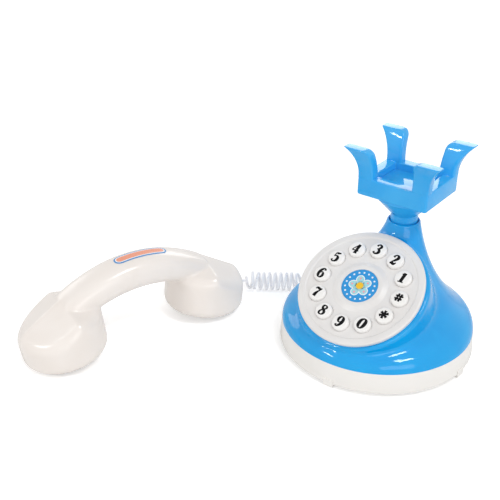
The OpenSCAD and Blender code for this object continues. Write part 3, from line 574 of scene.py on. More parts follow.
bm = as_bmesh(shell)
turned(bm, tube(sleeve_r, sleeve_out, sleeve_low, sleeve_high), 64, at_neck, closed=True)
for quarter in range(4):
    post = tube(post_bore, post_r, seam_z, seam_z + post_h)
    turned(bm, post, 24, around(45 + 90 * quarter, post_at), closed=True)
blue_shell = finish_piece(bm, "blue_shell", blue_abs, "base", "blue_abs", "body_shell", merge=False)
print("blue shell:", len(blue_shell.data.polygons), "faces")

# %% [markdown]
# The dial is a separate white moulding that drops on to the boss: a rounded rim, a shallow sunken band
# with twelve holes for the keys, and a raised hub with a seat for the badge. It is turned in one piece,
# its ring edges are bevelled, and the holes are cut by pins that flare at the top, so that each hole
# gets the small countersink that a mould gives it. Its white is a little greyer than the keys.

# %% Dial plate
dial_abs = moulded_abs("dial_white_abs_moulded", "#e2dfdd", "#e6e4e2", 0.35)
key_ring, key_r, key_flange, key_turn, badge_r = 23.9, 4.8, 1.0, 2.3, 10.2
band_out, band_d, hub_r, hub_h, hub_slope = key_ring + key_r + 2.7, 0.6, badge_r + 2.5, 0.8, 2.8
rim_r, seat_r, seat_d = 1.2, badge_r + 0.1, 0.4
skirt, skirt_t, skirt_low = key_ring + key_r + key_flange + 1.2, 0.9, -plate_t - 2
hole_r, hole_sink, pin_low, pin_high = key_r + 0.12, 0.12, -9, 2
bm = bmesh.new()
turned(bm, [(0, -plate_t), (skirt - skirt_t, -plate_t), (skirt - skirt_t, skirt_low), (skirt, skirt_low),
            (skirt, -plate_t), (dial_r - rim_r / 2, -plate_t)]
       + arc(dial_r - rim_r, -rim_r, rim_r, -60, 90, 12)
       + [(band_out + band_d, 0), (band_out, -band_d), (hub_r + hub_slope, -band_d), (hub_r, hub_h),
          (seat_r, hub_h), (seat_r, -seat_d), (0, -seat_d)], 128)
clean(bm)
round_edges(bm, [e for e in sharp_edges(bm, 22) if e.verts[0].co.z > -2], 0.35, 4)
plate = working_solid(bm, "plate_work")
pin = [(0, pin_low), (hole_r, pin_low), (hole_r, -band_d - hole_sink)]
pin += arc(hole_r + hole_sink, -band_d - hole_sink, hole_sink, 180, 100, 4)
pin += [(hole_r + hole_sink, pin_high), (0, pin_high)]
bm = bmesh.new()
for i in range(12):
    turned(bm, pin, 48, around(key_turn + 30 * i, key_ring))
combine(plate, working_solid(bm, "pins_work"), "DIFFERENCE")
bm = as_bmesh(plate)
mat_posts = [around(key_turn + 15 + 90 * k, 14.8) for k in range(4)]
for post in mat_posts:
    turned(bm, tube(1.1, 2.2, -7.9, -plate_t), 24, post, closed=True)
bmesh.ops.transform(bm, matrix=dial_place, verts=bm.verts)
dial = finish_piece(bm, "dial_face", dial_abs, "base", "dial_abs", "dial_plate", merge=False, corner=30)
print("dial face:", len(dial.data.polygons), "faces")

# %% [markdown]
# The twelve keys are small mushrooms: a flange that keeps each one in, a straight side, a rounded edge
# and a top that is very slightly domed. One outline is turned twelve times. Each key rides on its own
# body, because each one can be pressed on its own.

# %% Push keys
key_abs = moulded_abs("key_white_abs_moulded", "#efedea", "#f2f0ee", 0.28)
key_names = ["hash"] + [str(n) for n in range(1, 10)] + ["0", "star"]
key_top, key_side, key_round, dome_fall = 1.8, 1.5, 1.2, 0.0145
key_low, key_step = -4.9, -3.6


def key_place(i):
    angle = math.radians(key_turn + 30 * i)
    return dial_place @ Matrix.Translation((key_ring * math.cos(angle), key_ring * math.sin(angle), 0))


key_outline = [(0, key_low), (key_r + key_flange, key_low), (key_r + key_flange, key_step), (key_r, key_step)]
key_outline += arc(key_r - key_round, key_side - key_round, key_round, 0, 80, 8)
key_outline += [(r, key_top - dome_fall * r * r) for r in (3.3, 2.2, 1.1, 0)]
for i, name in enumerate(key_names):
    bm = bmesh.new()
    turned(bm, key_outline, 48, key_place(i))
    finish_piece(bm, "push_key_" + name, key_abs, "key_" + name, "key_abs", "key_" + name)
print("keys:", key_names)

# %% [markdown]
# The figures are pad-printed in black, in a sloping style with fat stems and hair-thin joins. Blender's
# own font has no such figures, so each one is drawn as a brush would: a few strokes along Bezier curves,
# with a width at every point. The curves become tubes, and the tubes are pressed flat on the key.
# Pad ink is a thin, slightly uneven film, so its black is broken by a fine noise of about 0.4 mm.
# A stroke's points are across, up and half width, in hundredths of the figure's height.

# %% Strokes of the figures
ink = clouded(
    "black_ink_pad_printed", 0.4, 2.0, ("#060607", "#161518"), (0.35, 0.55), IOR=1.5, Specular_IOR_Level=0.1)
figure_mid, figure_half, star_r = 35, 50, 40


def star_stroke(angle):
    x, y = star_r * math.cos(math.radians(angle)), star_r * math.sin(math.radians(angle))
    return [(figure_mid + k * x, figure_half + k * y, 9.5 if k else 5) for k in (-1, 0, 1)]


six = [(56, 80, 8), (46, 96, 4), (28, 88, 8), (13, 55, 11), (16, 20, 10), (34, 2, 4), (55, 16, 9),
       (55, 40, 9), (40, 57, 4), (20, 42, 3)]
strokes_of = {
    "0": [[(36, 98, 4), (15, 78, 10), (10, 50, 12), (15, 20, 10), (36, 2, 4), (56, 20, 10), (61, 50, 12),
           (56, 80, 10), (36, 98, 4)]],
    "1": [[(38, 3, 11), (38, 95, 11)], [(36, 92, 5), (16, 76, 4)], [(12, 2, 3.5), (64, 2, 3.5)]],
    "2": [[(12, 72, 9), (20, 92, 5), (38, 96, 6), (55, 78, 11), (44, 50, 9), (22, 26, 5), (8, 6, 4)],
          [(10, 6, 5), (26, 12, 9), (44, 6, 9), (62, 24, 3)]],
    "3": [[(12, 78, 8), (22, 94, 5), (40, 96, 6), (53, 78, 10), (42, 58, 6), (26, 53, 3)],
          [(26, 53, 3), (48, 46, 8), (57, 24, 11), (38, 3, 6), (20, 5, 5), (10, 20, 8)]],
    "4": [[(46, 3, 10), (46, 95, 10)], [(44, 95, 4), (4, 30, 3.5)], [(4, 28, 4), (68, 28, 4)],
          [(28, 2, 3.5), (64, 2, 3.5)]],
    "5": [[(18, 92, 6), (36, 90, 8), (60, 97, 5)], [(18, 93, 4), (14, 52, 3.5)],
          [(14, 53, 3.5), (34, 62, 5), (54, 46, 10), (54, 20, 10), (34, 2, 5), (18, 5, 5), (9, 20, 8)]],
    "6": [six],
    "7": [[(8, 78, 3.5), (14, 93, 6), (30, 90, 9), (46, 86, 7), (64, 94, 3.5)],
          [(63, 93, 4), (44, 60, 6), (32, 30, 11), (30, 5, 12)]],
    "8": [[(36, 97, 4), (17, 86, 8), (22, 64, 8), (42, 48, 9), (56, 26, 9), (36, 2, 4), (12, 16, 8),
           (20, 40, 6), (42, 56, 5), (54, 80, 7), (36, 97, 4)]],
    "9": [[(2 * figure_mid - x, 2 * figure_half - y, r) for x, y, r in six]],
    "star": [star_stroke(angle) for angle in (90, 30, 150)],
    "hash": [[(22, 12, 7), (22, 88, 7)], [(48, 12, 7), (48, 88, 7)], [(0, 36, 6), (70, 36, 6)],
             [(0, 64, 6), (70, 64, 6)]],
}
print("strokes:", sum(len(strokes) for strokes in strokes_of.values()))

# %% Printed figures
figure_h, figure_slope, figure_weight, ink_t, ink_lift = 6.2, 0.13, 1.4, 0.15, 0.02
for i, name in enumerate(key_names):
    line = round_line("figure_line", 1, 2)
    line.resolution_u = 6
    for stroke in strokes_of[name]:
        spline = line.splines.new("BEZIER")
        spline.bezier_points.add(len(stroke) - 1)
        for point, (x, y, width) in zip(spline.bezier_points, stroke):
            across, up = (x - figure_mid) / 100, (y - figure_half) / 100
            point.co = (across + figure_slope * up, up, 0)
            point.radius = width / 100 * figure_weight
            point.handle_left_type = point.handle_right_type = "AUTO"
    bm = bmesh.new()
    bm.from_mesh(line_mesh(line))
    bmesh.ops.scale(bm, vec=(figure_h, figure_h, ink_t), verts=bm.verts)
    for v in bm.verts:
        v.co.z += key_top + ink_lift - dome_fall * (v.co.x ** 2 + v.co.y ** 2)
    bmesh.ops.transform(bm, matrix=key_place(i), verts=bm.verts)
    finish_piece(bm, "figure_" + name, ink, "key_" + name, "black_plastic")
print("figures", figure_h, "mm tall")

# %% [markdown]
# In the middle of the dial sits a round sticker of printed vinyl: blue, with a ring of white dots and a
# plain five-petalled flower. The print could be drawn by nodes, but thin discs give a crisp edge at any
# distance, and they show from every side. Printed vinyl is smooth and a little softer in gloss than the
# plastic round it, and its colours are laid down in a fine halftone of about 0.5 mm.

# %% Printed vinyl
def printed_vinyl(name, colour, dots):
    """Printed sticker film: one colour with a fine halftone of a second one."""
    material, tree, shader = new_material(name, IOR=1.5)
    place = add_node(tree, "ShaderNodeTexCoord").outputs["Object"]
    screen = add_node(tree, "ShaderNodeTexVoronoi", {"Vector": place, "Scale": PER_METRE / 0.5})
    spot = add_node(
        tree, "ShaderNodeMapRange", {"Value": screen.outputs["Distance"], "From Min": 0.3, "From Max": 0.5})
    tint = add_node(
        tree, "ShaderNodeMix", {"Factor": spot.outputs["Result"], "A": linear(colour), "B": linear(dots)},
        data_type="RGBA")
    gloss = add_node(tree, "ShaderNodeTexNoise", {"Vector": place, "Scale": PER_METRE / 4})
    rough = add_node(
        tree, "ShaderNodeMapRange", {"Value": gloss.outputs["Fac"], "To Min": 0.3, "To Max": 0.45})
    set_inputs(tree, shader, {"Base Color": tint.outputs["Result"], "Roughness": rough.outputs["Result"]})
    return material


def dress(material, *nodes):
    """Give solids of the model a finish as they are."""
    for name in nodes:
        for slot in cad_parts[name].material_slots:
            slot.material = material


dress(printed_vinyl("badge_blue_vinyl_printed", "#1d8bd0", "#2494d8"), "dial_badge")
print("badge dressed")

# %% Print of the badge
film_t, film_step, film_lift = 0.06, 0.04, 0.42
petal_at, petal_stretch = 3.9, 1.1
petals = [40 + 72 * k for k in range(5)]
# each disc of a layer is its reach from the middle, its angle, its radius and its stretch
badge_layers = [
    ("badge_dots", "#f4f7f9", "#e9f1f6", [(8.3, 20 * k, 0.55, 1) for k in range(18)]),
    ("badge_petal_rims", "#eef4f4", "#e2eeef",
     [(petal_at, a, 2.55, petal_stretch) for a in petals] + [(0, 0, 3.4, 1)]),
    ("badge_petals", "#a9dae0", "#9bd2da",
     [(petal_at, a, 2.0, petal_stretch) for a in petals] + [(0, 0, 2.9, 1)]),
    ("badge_specks", "#f0a9b4", "#ec9cab", [(4.6, a, 0.62, 1) for a in petals]),
    ("badge_centre", "#f4c72c", "#f0bd22", [(0, 0, 2.1, 1)]),
]
for layer, (name, colour, screen, discs) in enumerate(badge_layers):
    bm = bmesh.new()
    for reach, angle, radius, stretch in discs:
        spot = around(angle, reach, film_lift + film_step * layer)
        bmesh.ops.create_cone(
            bm, cap_ends=True, segments=28, radius1=radius, radius2=radius * 0.98, depth=film_t,
            matrix=dial_place @ spot @ Matrix.Diagonal((stretch, 1, 1, 1)))
    vinyl = printed_vinyl(name + "_vinyl_printed", colour, screen)
    finish_piece(bm, name, vinyl, "base", "printed_badge", merge=False)
print("badge of", len(badge_layers), "printed layers")

# %% [markdown]
# Under the dial lies a mat of grey silicone rubber with a dome under each key, which is the key's spring.
# The domes are pieces of their own, one under each key. Moulded silicone is dull
# and slightly dusty, which a fine noise of 0.6 mm on its colour and a high roughness give.

# %% Rubber mat and domes
silicone = clouded("grey_silicone_moulded", 0.6, 3.0, ("#b9bdc2", "#cdd0d3"), (0.6, 0.8), IOR=1.41)
mat_r, mat_edge, mat_low, mat_high, dome_high = 29.0, 0.3, -7.75, -6.8, -5.0
mat = turned_solid("mat_work", [
    (0, mat_low), (mat_r, mat_low), (mat_r, mat_high - mat_edge), (mat_r - mat_edge, mat_high),
    (0, mat_high)], 96)
bm = bmesh.new()
for post in mat_posts:
    turned(bm, tube(0, 2.3, -9, -5), 24, post)
combine(mat, working_solid(bm, "holes_work"), "DIFFERENCE")
bm = as_bmesh(mat)
bmesh.ops.transform(bm, matrix=dial_place, verts=bm.verts)
finish_piece(bm, "rubber_mat", silicone, "base", "silicone", "key_mat", merge=False)
dome_outline = [
    (0, mat_high), (3.3, mat_high), (3.1, mat_high + 0.4), (2.7, dome_high - 0.6), (2.5, dome_high - 0.2),
    (2.2, dome_high), (0, dome_high)]
for i, name in enumerate(key_names):
    bm = bmesh.new()
    turned(bm, dome_outline, 32, key_place(i))
    dome = finish_piece(bm, "rubber_dome_" + name, silicone, "base", "silicone")
    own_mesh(dome)
print("rubber mat with", len(key_names), "domes")

# %% [markdown]
# The cradle's return spring is hidden in the neck: six turns of drawn steel wire round a spigot. It is
# swept along a helix like the cord. Drawn wire is bright, with fine scratches along it, here a noise of
# 0.3 mm on the roughness.

# %% Steel and the hidden spring
steel = clouded("steel_drawn_zinc_plated", 0.3, 4.0, ("#a9adb2", "#c6c9cc"), (0.22, 0.42), Metallic=1.0)
spring_low, spring_high, spring_turns, coil_r, wire_d = seam_z + 0.55, 40.55, 6, 6.6, 1.0
helix = []
for i in range(turn_steps * spring_turns + 1):
    part = i / (turn_steps * spring_turns)
    angle = 2 * math.pi * spring_turns * part
    helix.append(Vector((
        coil_r * math.cos(angle), neck_back + coil_r * math.sin(angle),
        spring_low + (spring_high - spring_low) * part)))
spring = swept_tube("return_spring", helix, wire_d, steel)
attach(spring, "base")
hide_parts("hook_spring")
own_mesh(spring)
print("spring of", spring_turns, "turns")

# %% [markdown]
# The cradle is a square tray with a sunken middle and a horn at each corner. The tray is a cube, inset
# and pushed in, with bevelled edges. A horn looks free-formed, but every level cut through it is a plain
# rectangle, so it is grown from a rounded rectangle, extruded upwards ring by ring, and each ring is
# scaled and moved so that its four sides follow the horn's front and side views. The last rings shrink
# a little, which rounds the top edge. The root inside the tray is a hair smaller than the tray, so that
# no two faces lie in one plane. All four horns are grown at the same corner, and a scale of -1 across the
# tray, along it or both then carries three of them to their own.

# %% Levels of a horn
cradle_z = neck_z + 16.5
half_l, half_w, deck_h, rim_w, recess_d = 42.7 / 2, 38.0 / 2, 10.5, 6.5, 6.0
horn_h, horn_reach, horn_lean, horn_tip, horn_gap, horn_corner = 28.0, 7.8, 5.3, 6.8, 11.6, 4.5
inner_lean, corner_z = math.radians(4), horn_h - horn_corner
root_inset, top_edge, horn_rise = 0.06, 0.8, 13


def arc_out(w, z0, z1, z):
    """How far an arc stands out at height z, if it starts upright at z0 and is w out at z1."""
    h, u = z1 - z0, max(0, z - z0)
    r = (h * h + w * w) / (2 * w)
    return r - math.sqrt(r * r - u * u)


def horn_section(z):
    """The level rectangle through a horn: its inner and outer side, and its near and far side."""
    touch = corner_z + horn_corner * math.sin(inner_lean)
    corner_x = horn_gap + (touch - deck_h + 1) * math.tan(inner_lean) + horn_corner * math.cos(inner_lean)
    inner = horn_gap + max(0, z - deck_h + 1) * math.tan(inner_lean)
    if z > touch:
        inner = corner_x - math.sqrt(max(0, horn_corner ** 2 - (z - corner_z) ** 2))
    outer = half_l + arc_out(horn_reach, deck_h + 1, horn_h, z)
    near = half_w - rim_w + arc_out(rim_w + horn_lean - horn_tip, deck_h - 1, horn_h, z)
    away = half_w + arc_out(horn_lean, deck_h + 1, horn_h, z)
    sunk_in = root_inset if z < deck_h - 0.45 else 0
    return inner, outer - sunk_in, near + sunk_in, away - sunk_in


levels = [1.0, 6.0, deck_h - 0.5] + [deck_h - 0.2 + horn_rise * i / 14 for i in range(15)]
levels += [corner_z + horn_corner * math.sin(math.radians(a)) for a in range(12, 60, 6)]
sections = [(z, horn_section(z)) for z in levels]
for a in (0, 25, 50, 75, 90):
    z = horn_h - top_edge + top_edge * math.sin(math.radians(a))
    pull = top_edge * (1 - math.cos(math.radians(a)))
    x0, x1, y0, y1 = horn_section(min(z, horn_h - 0.12))
    sections.append((z, (x0 + pull * 0.5, x1 - pull, y0 + pull, y1 - pull)))
print("a horn has", len(sections), "levels")

# %% Cradle
bm = block(2 * half_l, 2 * half_w, deck_h)
sunk(bm, 1, rim_w, recess_d)
uprights = [e for e in bm.edges if abs(e.verts[0].co.z - e.verts[1].co.z) > deck_h - 1]
round_edges(bm, uprights, 1.6, 5)
round_edges(bm, sharp_edges(bm, 50), 0.7, 4)
for sx, sy in ((1, 1), (1, -1), (-1, 1), (-1, -1)):
    z, (x0, x1, y0, y1) = sections[0]
    corner = bmesh.ops.create_grid(bm, x_segments=1, y_segments=1, size=0.5)["verts"]
    bmesh.ops.scale(bm, vec=(x1 - x0, y1 - y0, 1), verts=corner)
    bmesh.ops.translate(bm, vec=((x0 + x1) / 2, (y0 + y1) / 2, z), verts=corner)
    rounded = bmesh.ops.bevel(
        bm, geom=corner, offset=1.2, segments=5, profile=0.5, affect="VERTICES", material=-1)
    touching = {f for v in rounded["verts"] for f in v.link_faces}
    face = max(rounded["faces"] + list(touching), key=lambda f: f.calc_area())
    horn = set(face.verts)
    for z1, (a0, a1, b0, b1) in sections[1:]:
        face = bmesh.ops.extrude_discrete_faces(bm, faces=[face])["faces"][0]
        ring = list(face.verts)
        centre = Vector(((x0 + x1) / 2, (y0 + y1) / 2, 0))
        bmesh.ops.scale(
            bm, vec=((a1 - a0) / (x1 - x0), (b1 - b0) / (y1 - y0), 1), space=Matrix.Translation(-centre),
            verts=ring)
        bmesh.ops.translate(
            bm, vec=((a0 + a1) / 2 - centre.x, (b0 + b1) / 2 - centre.y, z1 - z), verts=ring)
        horn |= set(ring)
        z, x0, x1, y0, y1 = z1, a0, a1, b0, b1
    bmesh.ops.scale(bm, vec=(sx, sy, 1), verts=list(horn))
bmesh.ops.translate(bm, vec=(0, neck_back, cradle_z), verts=bm.verts)
cradle = finish_piece(bm, "horned_cradle", cradle_abs_painted_lighter, "cradle", "blue_abs", "cradle", corner=45)
print("cradle:", len(cradle.data.polygons), "faces")

# %% [markdown]
# A shallow cover is pressed into the sunken middle and hides the screw that holds the tray on its stem.
# It is a box with a hollow underside: the lower face is inset and pushed up, and the edges are rounded.

# %% Tray cover
cover_gap, cover_top, cover_wall, cover_hollow = 0.15, 4.05, 1.4, 1.65
cover_l, cover_w = 2 * (half_l - rim_w - cover_gap), 2 * (half_w - rim_w - cover_gap)
bm = block(cover_l, cover_w, recess_d - cover_top)
sunk(bm, -1, cover_wall, cover_hollow)
round_edges(bm, sharp_edges(bm, 50), 0.25, 3)
bmesh.ops.translate(bm, vec=(0, neck_back, cradle_z + deck_h - recess_d), verts=bm.verts)
finish_piece(bm, "tray_cover", cradle_abs_painted_lighter, "cradle", "blue_abs")
print("tray cover", round(cover_l, 1), "by", round(cover_w, 1), "mm")

# %% [markdown]
# Below the tray the stem flares like a trumpet and runs down through the neck into its guide. It is one
# turned piece, with a groove low down for the clip that keeps it from being pulled out.

# %% Cradle stem
stem_r, stem_low, groove_r, groove_low, groove_high = 5, 30, 4.2, 41.1, 42.3
collar_r, collar_z, flare_r, flare_z, flare_edge = 7.9, 67.3, 17.5, 73, 2
screw_r, screw_low = 1.55, cradle_z - 15
bm = bmesh.new()
turned(bm, [(0, stem_low), (stem_r, stem_low), (stem_r, groove_low), (groove_r, groove_low),
            (groove_r, groove_high), (stem_r, groove_high), (stem_r, collar_z), (collar_r, collar_z),
            (collar_r, flare_z)]
       + [(collar_r + 0.7 * i * i / 16, flare_z + i * 0.35) for i in range(1, 5)]
       + [(flare_r, cradle_z - flare_edge), (flare_r, cradle_z), (screw_r, cradle_z), (screw_r, screw_low),
          (0, screw_low)], 96, at_neck)
clean(bm)
round_edges(bm, [e for e in sharp_edges(bm, 40) if e.verts[0].co.z > 60], 0.35, 3)
finish_piece(bm, "trumpet_stem", cradle_abs_painted_lighter, "cradle", "blue_abs", "cradle_stem")
print("stem turned")

# %% [markdown]
# The handset is a fat curved handle with a round drum at each end, and each drum has a soft roof with a
# ridge that runs down to its outer end. It is moulded in two halves of white ABS with a little pearl in
# it. The handle is one section, extruded along its curve. A drum is turned, tilted, and sliced by four
# planes for the roof, whose eaves are bevelled wide while its ridge stays crisp. The three are joined,
# remeshed and smoothed a little, and then cut along the parting line into the upper and the lower half.

# %% Handset form
ridge_h, ridge_fall, roof_fall, inner_fall = 36.5, math.radians(32), math.radians(16), math.radians(7)
crest_h, handle_w, handle_t, handle_end = 50.0, 23.0, 19.0, 36.0
handset_place = Matrix.Translation(handset_at) @ Matrix.Rotation(handset_turn, 4, "Z")
handle_power, handle_steps, eave_round, drum_h = 0.8, 44, 5.0, 60


def handle_top(x):
    return crest_h + (handle_end - crest_h) * (x / cap_half) ** 2


def grown_handle():
    """The handle's rounded section, extruded from one drum's middle to the other's."""
    bm = bmesh.new()
    ring = bmesh.ops.create_circle(bm, segments=56, radius=1, cap_ends=True)["verts"]
    for v in ring:
        across, up = v.co.x, v.co.y
        v.co = (-cap_half, math.copysign(abs(across) ** handle_power, across) * handle_w / 2,
                math.copysign(abs(up) ** handle_power, up) * handle_t / 2 + handle_end - handle_t / 2)
    face = list(bm.faces)[0]
    for i in range(handle_steps):
        x0, x1 = (-cap_half + 2 * cap_half * k / handle_steps for k in (i, i + 1))
        face = bmesh.ops.extrude_discrete_faces(bm, faces=[face])["faces"][0]
        bmesh.ops.translate(bm, vec=(x1 - x0, 0, handle_top(x1) - handle_top(x0)), verts=list(face.verts))
    return bm


def sliced(bm, place, normal, **settings):
    """Cut all of a bmesh by a plane, and give back what lies on the cut."""
    everything = list(bm.verts) + list(bm.edges) + list(bm.faces)
    cut = bmesh.ops.bisect_plane(bm, geom=everything, plane_co=place, plane_no=normal, **settings)
    return cut["geom_cut"]


def roofed_drum(side):
    """A turned drum, leaning inwards, with its top sliced by the four planes of the roof."""
    bm = bmesh.new()
    turned(bm, [(0, 0)] + arc(cap_r - cap_round, cap_round, cap_round, -90, 0, 8)
           + [(cap_r, drum_h), (0, drum_h)], 96)
    clean(bm)
    leaning = Matrix.Translation((cap_half, 0, cap_lift)) @ Matrix.Rotation(cap_lean, 4, "Y")
    bmesh.ops.transform(bm, matrix=leaning, verts=bm.verts)
    for fall in (ridge_fall, -inner_fall):
        for lean in (roof_fall, -roof_fall):
            normal = Matrix.Rotation(fall, 3, "Y") @ Vector((0, math.sin(lean), math.cos(lean)))
            cut = sliced(bm, (cap_half, 0, ridge_h), normal, clear_outer=True, dist=0.001)
            bmesh.ops.holes_fill(bm, edges=[e for e in cut if isinstance(e, bmesh.types.BMEdge)], sides=0)
    clean(bm)
    steepness = {e: [f.normal.z for f in e.link_faces] for e in bm.edges}
    eaves = [e for e in bm.edges if min(steepness[e]) < 0.5 < max(steepness[e])]
    round_edges(bm, eaves, eave_round, 6)
    bmesh.ops.scale(bm, vec=(side, 1, 1), verts=bm.verts)
    return bm


handset = working_solid(grown_handle(), "handset_work")
for side in (1, -1):
    combine(handset, working_solid(roofed_drum(side), "drum_work"), "UNION")
bm = remeshed(handset, 0.6)
soften(bm, list(bm.verts), 8)
handset = working_solid(bm, "handset_work")
print("handset form:", len(handset.data.polygons), "faces")

# %% [markdown]
# Pearly white ABS is white with a trace of mica: it looks warmer than the dial and has a softer sheen,
# and the flow of the plastic shows as broad, faint swirls. Those are the same flow noise as on the other
# mouldings, in two warm whites.

# %% Room of the upper half
pearl_abs = moulded_abs(
    "pearl_white_abs_moulded", "#f0e8e1", "#f3ece6", 0.2, peel=0.015, Specular_IOR_Level=0.5)
head_r, bolt_r, head_z, bolt_z, room_half = 2.9, 1.6, cap_lift + 2.4, 27, 60
bm = bmesh.new()
for side in (1, -1):
    turned(bm, [(0, -3), (head_r, -3), (head_r, head_z), (bolt_r, head_z), (bolt_r, bolt_z), (0, bolt_z)], 32,
           Matrix.Translation((side * cap_half, 0, 0)))
combine(handset, working_solid(bm, "pockets_work"), "DIFFERENCE")

part_z, inner_x, part_share = 15.0, cap_half - cap_r * 0.75, 0.55
parting = [(-far, part_z), (-cap_half, part_z)]
parting += [(x, handle_top(x) - handle_t * part_share) for x in (inner_x * i / 12 for i in range(-12, 13))]
parting += [(cap_half, part_z), (far, part_z)]
bm = bmesh.new()
verts = [bm.verts.new((x, -room_half, z)) for x, z in parting]
edges = [bm.edges.new(pair) for pair in zip(verts, verts[1:])]
for g in bmesh.ops.extrude_edge_only(bm, edges=edges)["geom"]:
    if isinstance(g, bmesh.types.BMVert):
        g.co.z = far
bmesh.ops.recalc_face_normals(bm, faces=bm.faces)
deep = bmesh.ops.extrude_face_region(bm, geom=list(bm.faces))["geom"]
bmesh.ops.translate(
    bm, vec=(0, 2 * room_half, 0), verts=[g for g in deep if isinstance(g, bmesh.types.BMVert)])
upper_room = working_solid(bm, "upper_room_work")
print("parting line of", len(parting), "points")

# %% Handset halves
for name, node, operation in (("handset_top_half", "handset_upper", "INTERSECT"),
                              ("handset_low_half", "handset_lower", "DIFFERENCE")):
    half = add_object("half_work", handset.data.copy())
    combine(half, add_object("room_work", upper_room.data), operation)
    bm = as_bmesh(half)
    bmesh.ops.transform(bm, matrix=handset_place, verts=bm.verts)
    piece = finish_piece(bm, name, pearl_abs, "handset", "pearl_abs", node, merge=False, corner=45)
    print(name, len(piece.data.polygons), "faces")
bpy.data.objects.remove(handset)
bpy.data.objects.remove(upper_room)

# %% [markdown]
# On top of the handle is an oval sticker with a blue edge, a white line and a plain coral field. A flat
# disc is drawn out to an oval and inset twice, so that the three colours are three rings of faces. It is
# then sliced into a fine grid, and each point is lifted on to the handle's curve.

# %% Handle sticker
label_l, label_w, label_at, label_t, label_lift = 33.0, 7.6, 5.0, 0.3, 0.22
bm = bmesh.new()
ring = bmesh.ops.create_circle(bm, segments=64, radius=label_w / 2, cap_ends=True)["verts"]
for direction in (1, -1):
    end = [v for v in ring if v.co.x * direction > 0.01]
    bmesh.ops.translate(bm, vec=(direction * (label_l - label_w) / 2, 0, 0), verts=end)
bmesh.ops.recalc_face_normals(bm, faces=bm.faces)
field = list(bm.faces)
for colour, width in ((0, 0.85), (1, 0.6)):
    for face in bmesh.ops.inset_region(
            bm, faces=field, thickness=width, use_even_offset=True, use_boundary=True)["faces"]:
        face.material_index = colour
for face in field:
    face.material_index = 2
for axis, reach, step in (((1, 0, 0), label_l / 2, 1.0), ((0, 1, 0), label_w / 2, 0.8)):
    at = -reach + step / 2
    while at < reach:
        sliced(bm, Vector(axis) * at, axis, dist=0.0001)
        at += step
for v in bm.verts:
    v.co.x += label_at
    side = (abs(v.co.y) / (handle_w / 2)) ** (2 / handle_power)
    v.co.z = handle_top(v.co.x) - handle_t / 2 + handle_t / 2 * (1 - side) ** (handle_power / 2) + label_lift
bmesh.ops.recalc_face_normals(bm, faces=bm.faces)
if sum(f.normal.z for f in bm.faces) < 0:
    bmesh.ops.reverse_faces(bm, faces=bm.faces)
bmesh.ops.solidify(bm, geom=list(bm.faces), thickness=label_t)
bmesh.ops.transform(bm, matrix=handset_place, verts=bm.verts)
sticker = finish_piece(
    bm, "handle_sticker", printed_vinyl("sticker_blue_vinyl_printed", "#3f86c6", "#4c90cc"), "handset",
    "printed_label", "handset_label")
sticker.data.materials.append(printed_vinyl("sticker_white_vinyl_printed", "#f3f1ee", "#ffffff"))
sticker.data.materials.append(printed_vinyl("sticker_coral_vinyl_printed", "#ea8a6c", "#f0a184"))
print("sticker:", len(sticker.data.polygons), "faces")

# %% [markdown]
# The rest of the solids have the right shape as they are: the white ring with its feet and floor, the
# battery door, the bushes of the cord, and everything inside. They only need finishes. The ring is the
# same ABS as the dial, polished brighter. The inside parts get the finish that their kind has: a printed
# green circuit board, a paper cone, a sleeved battery and plated steel.

# %% Finishes for the kept solids
white_abs = moulded_abs("white_abs_moulded", "#f0ede8", "#f1eeea", 0.2)
black_abs = moulded_abs("black_abs_moulded", "#1d1d20", "#26262a", 0.45, peel=0.08)
paper = moulded_abs("black_paper_pulp_pressed", "#17171a", "#242327", 0.85, peel=0.5)
board = moulded_abs("green_circuit_board_lacquered", "#1f5d38", "#2a6c44", 0.35)
cell_sleeve = moulded_abs("green_battery_sleeve_shrunk", "#2f6f49", "#3b7f57", 0.35)
bush_pvc = moulded_abs("pale_soft_pvc_moulded", "#e7e7e5", "#efefed", 0.4)
dress(white_abs, "lower_case", "battery_door", "stem_guide")
dress(black_abs, "hook_switch", "speaker_frame")
dress(paper, "speaker_cone")
dress(board, "key_board")
dress(cell_sleeve, "battery_cells")
dress(bush_pvc, "base_cord_gland")
dress(pearl_abs, "handset_cord_gland")
dress(steel, "door_screw", "case_screws", "battery_contacts", "speaker_magnet", "board_screws", "stem_screw",
      "stem_clip", "handset_screws")
print("kept solids dressed")

# %% [markdown]
# The white ring is the one kept solid that stands in full view. Its wall gets a turned skin, 0.08 mm
# proud of the solid, because a lathe gives it an even curve and the small roundings at its upper and
# lower edge that catch the light.

# %% Skin of the white ring
ring_low, skin_proud, skin_gap, skin_in = 2.0, 0.08, 0.05, base_r - 0.5
top_round, low_round = 0.3, 0.7
top_z, low_z = seam_z - skin_gap, ring_low - skin_gap


def ring_out(z):
    return base_r + base_flare / ring_h * (seam_z - z) + skin_proud


bm = bmesh.new()
turned(bm, [(skin_in, top_z)]
       + arc(ring_out(top_z) - top_round, top_z - top_round, top_round, 90, 0, 4)
       + arc(ring_out(low_z) - low_round, low_z + low_round, low_round, 0, -90, 6)
       + [(skin_in, low_z)], 160, closed=True)
white_ring = finish_piece(bm, "white_ring", white_abs, "base", "white_abs")
print("white ring:", len(white_ring.data.polygons), "faces")

# %% [markdown]
# The photograph is a high-key one: a white table and light from all round. The world gives the even
# light, more of it from the sides than from above, and is white to the camera and to reflections. Six
# lamps add to it: two soft boxes whose reflections lie as short bright ovals on the shoulder of the bell,
# a wide fill on the right, a narrow strip in front, a card behind that whitens the level rims of the
# cradle, and a card on the left. The floor is white too. It is lifted a little for the camera alone, more
# so far away, and keeps a very faint shadow.

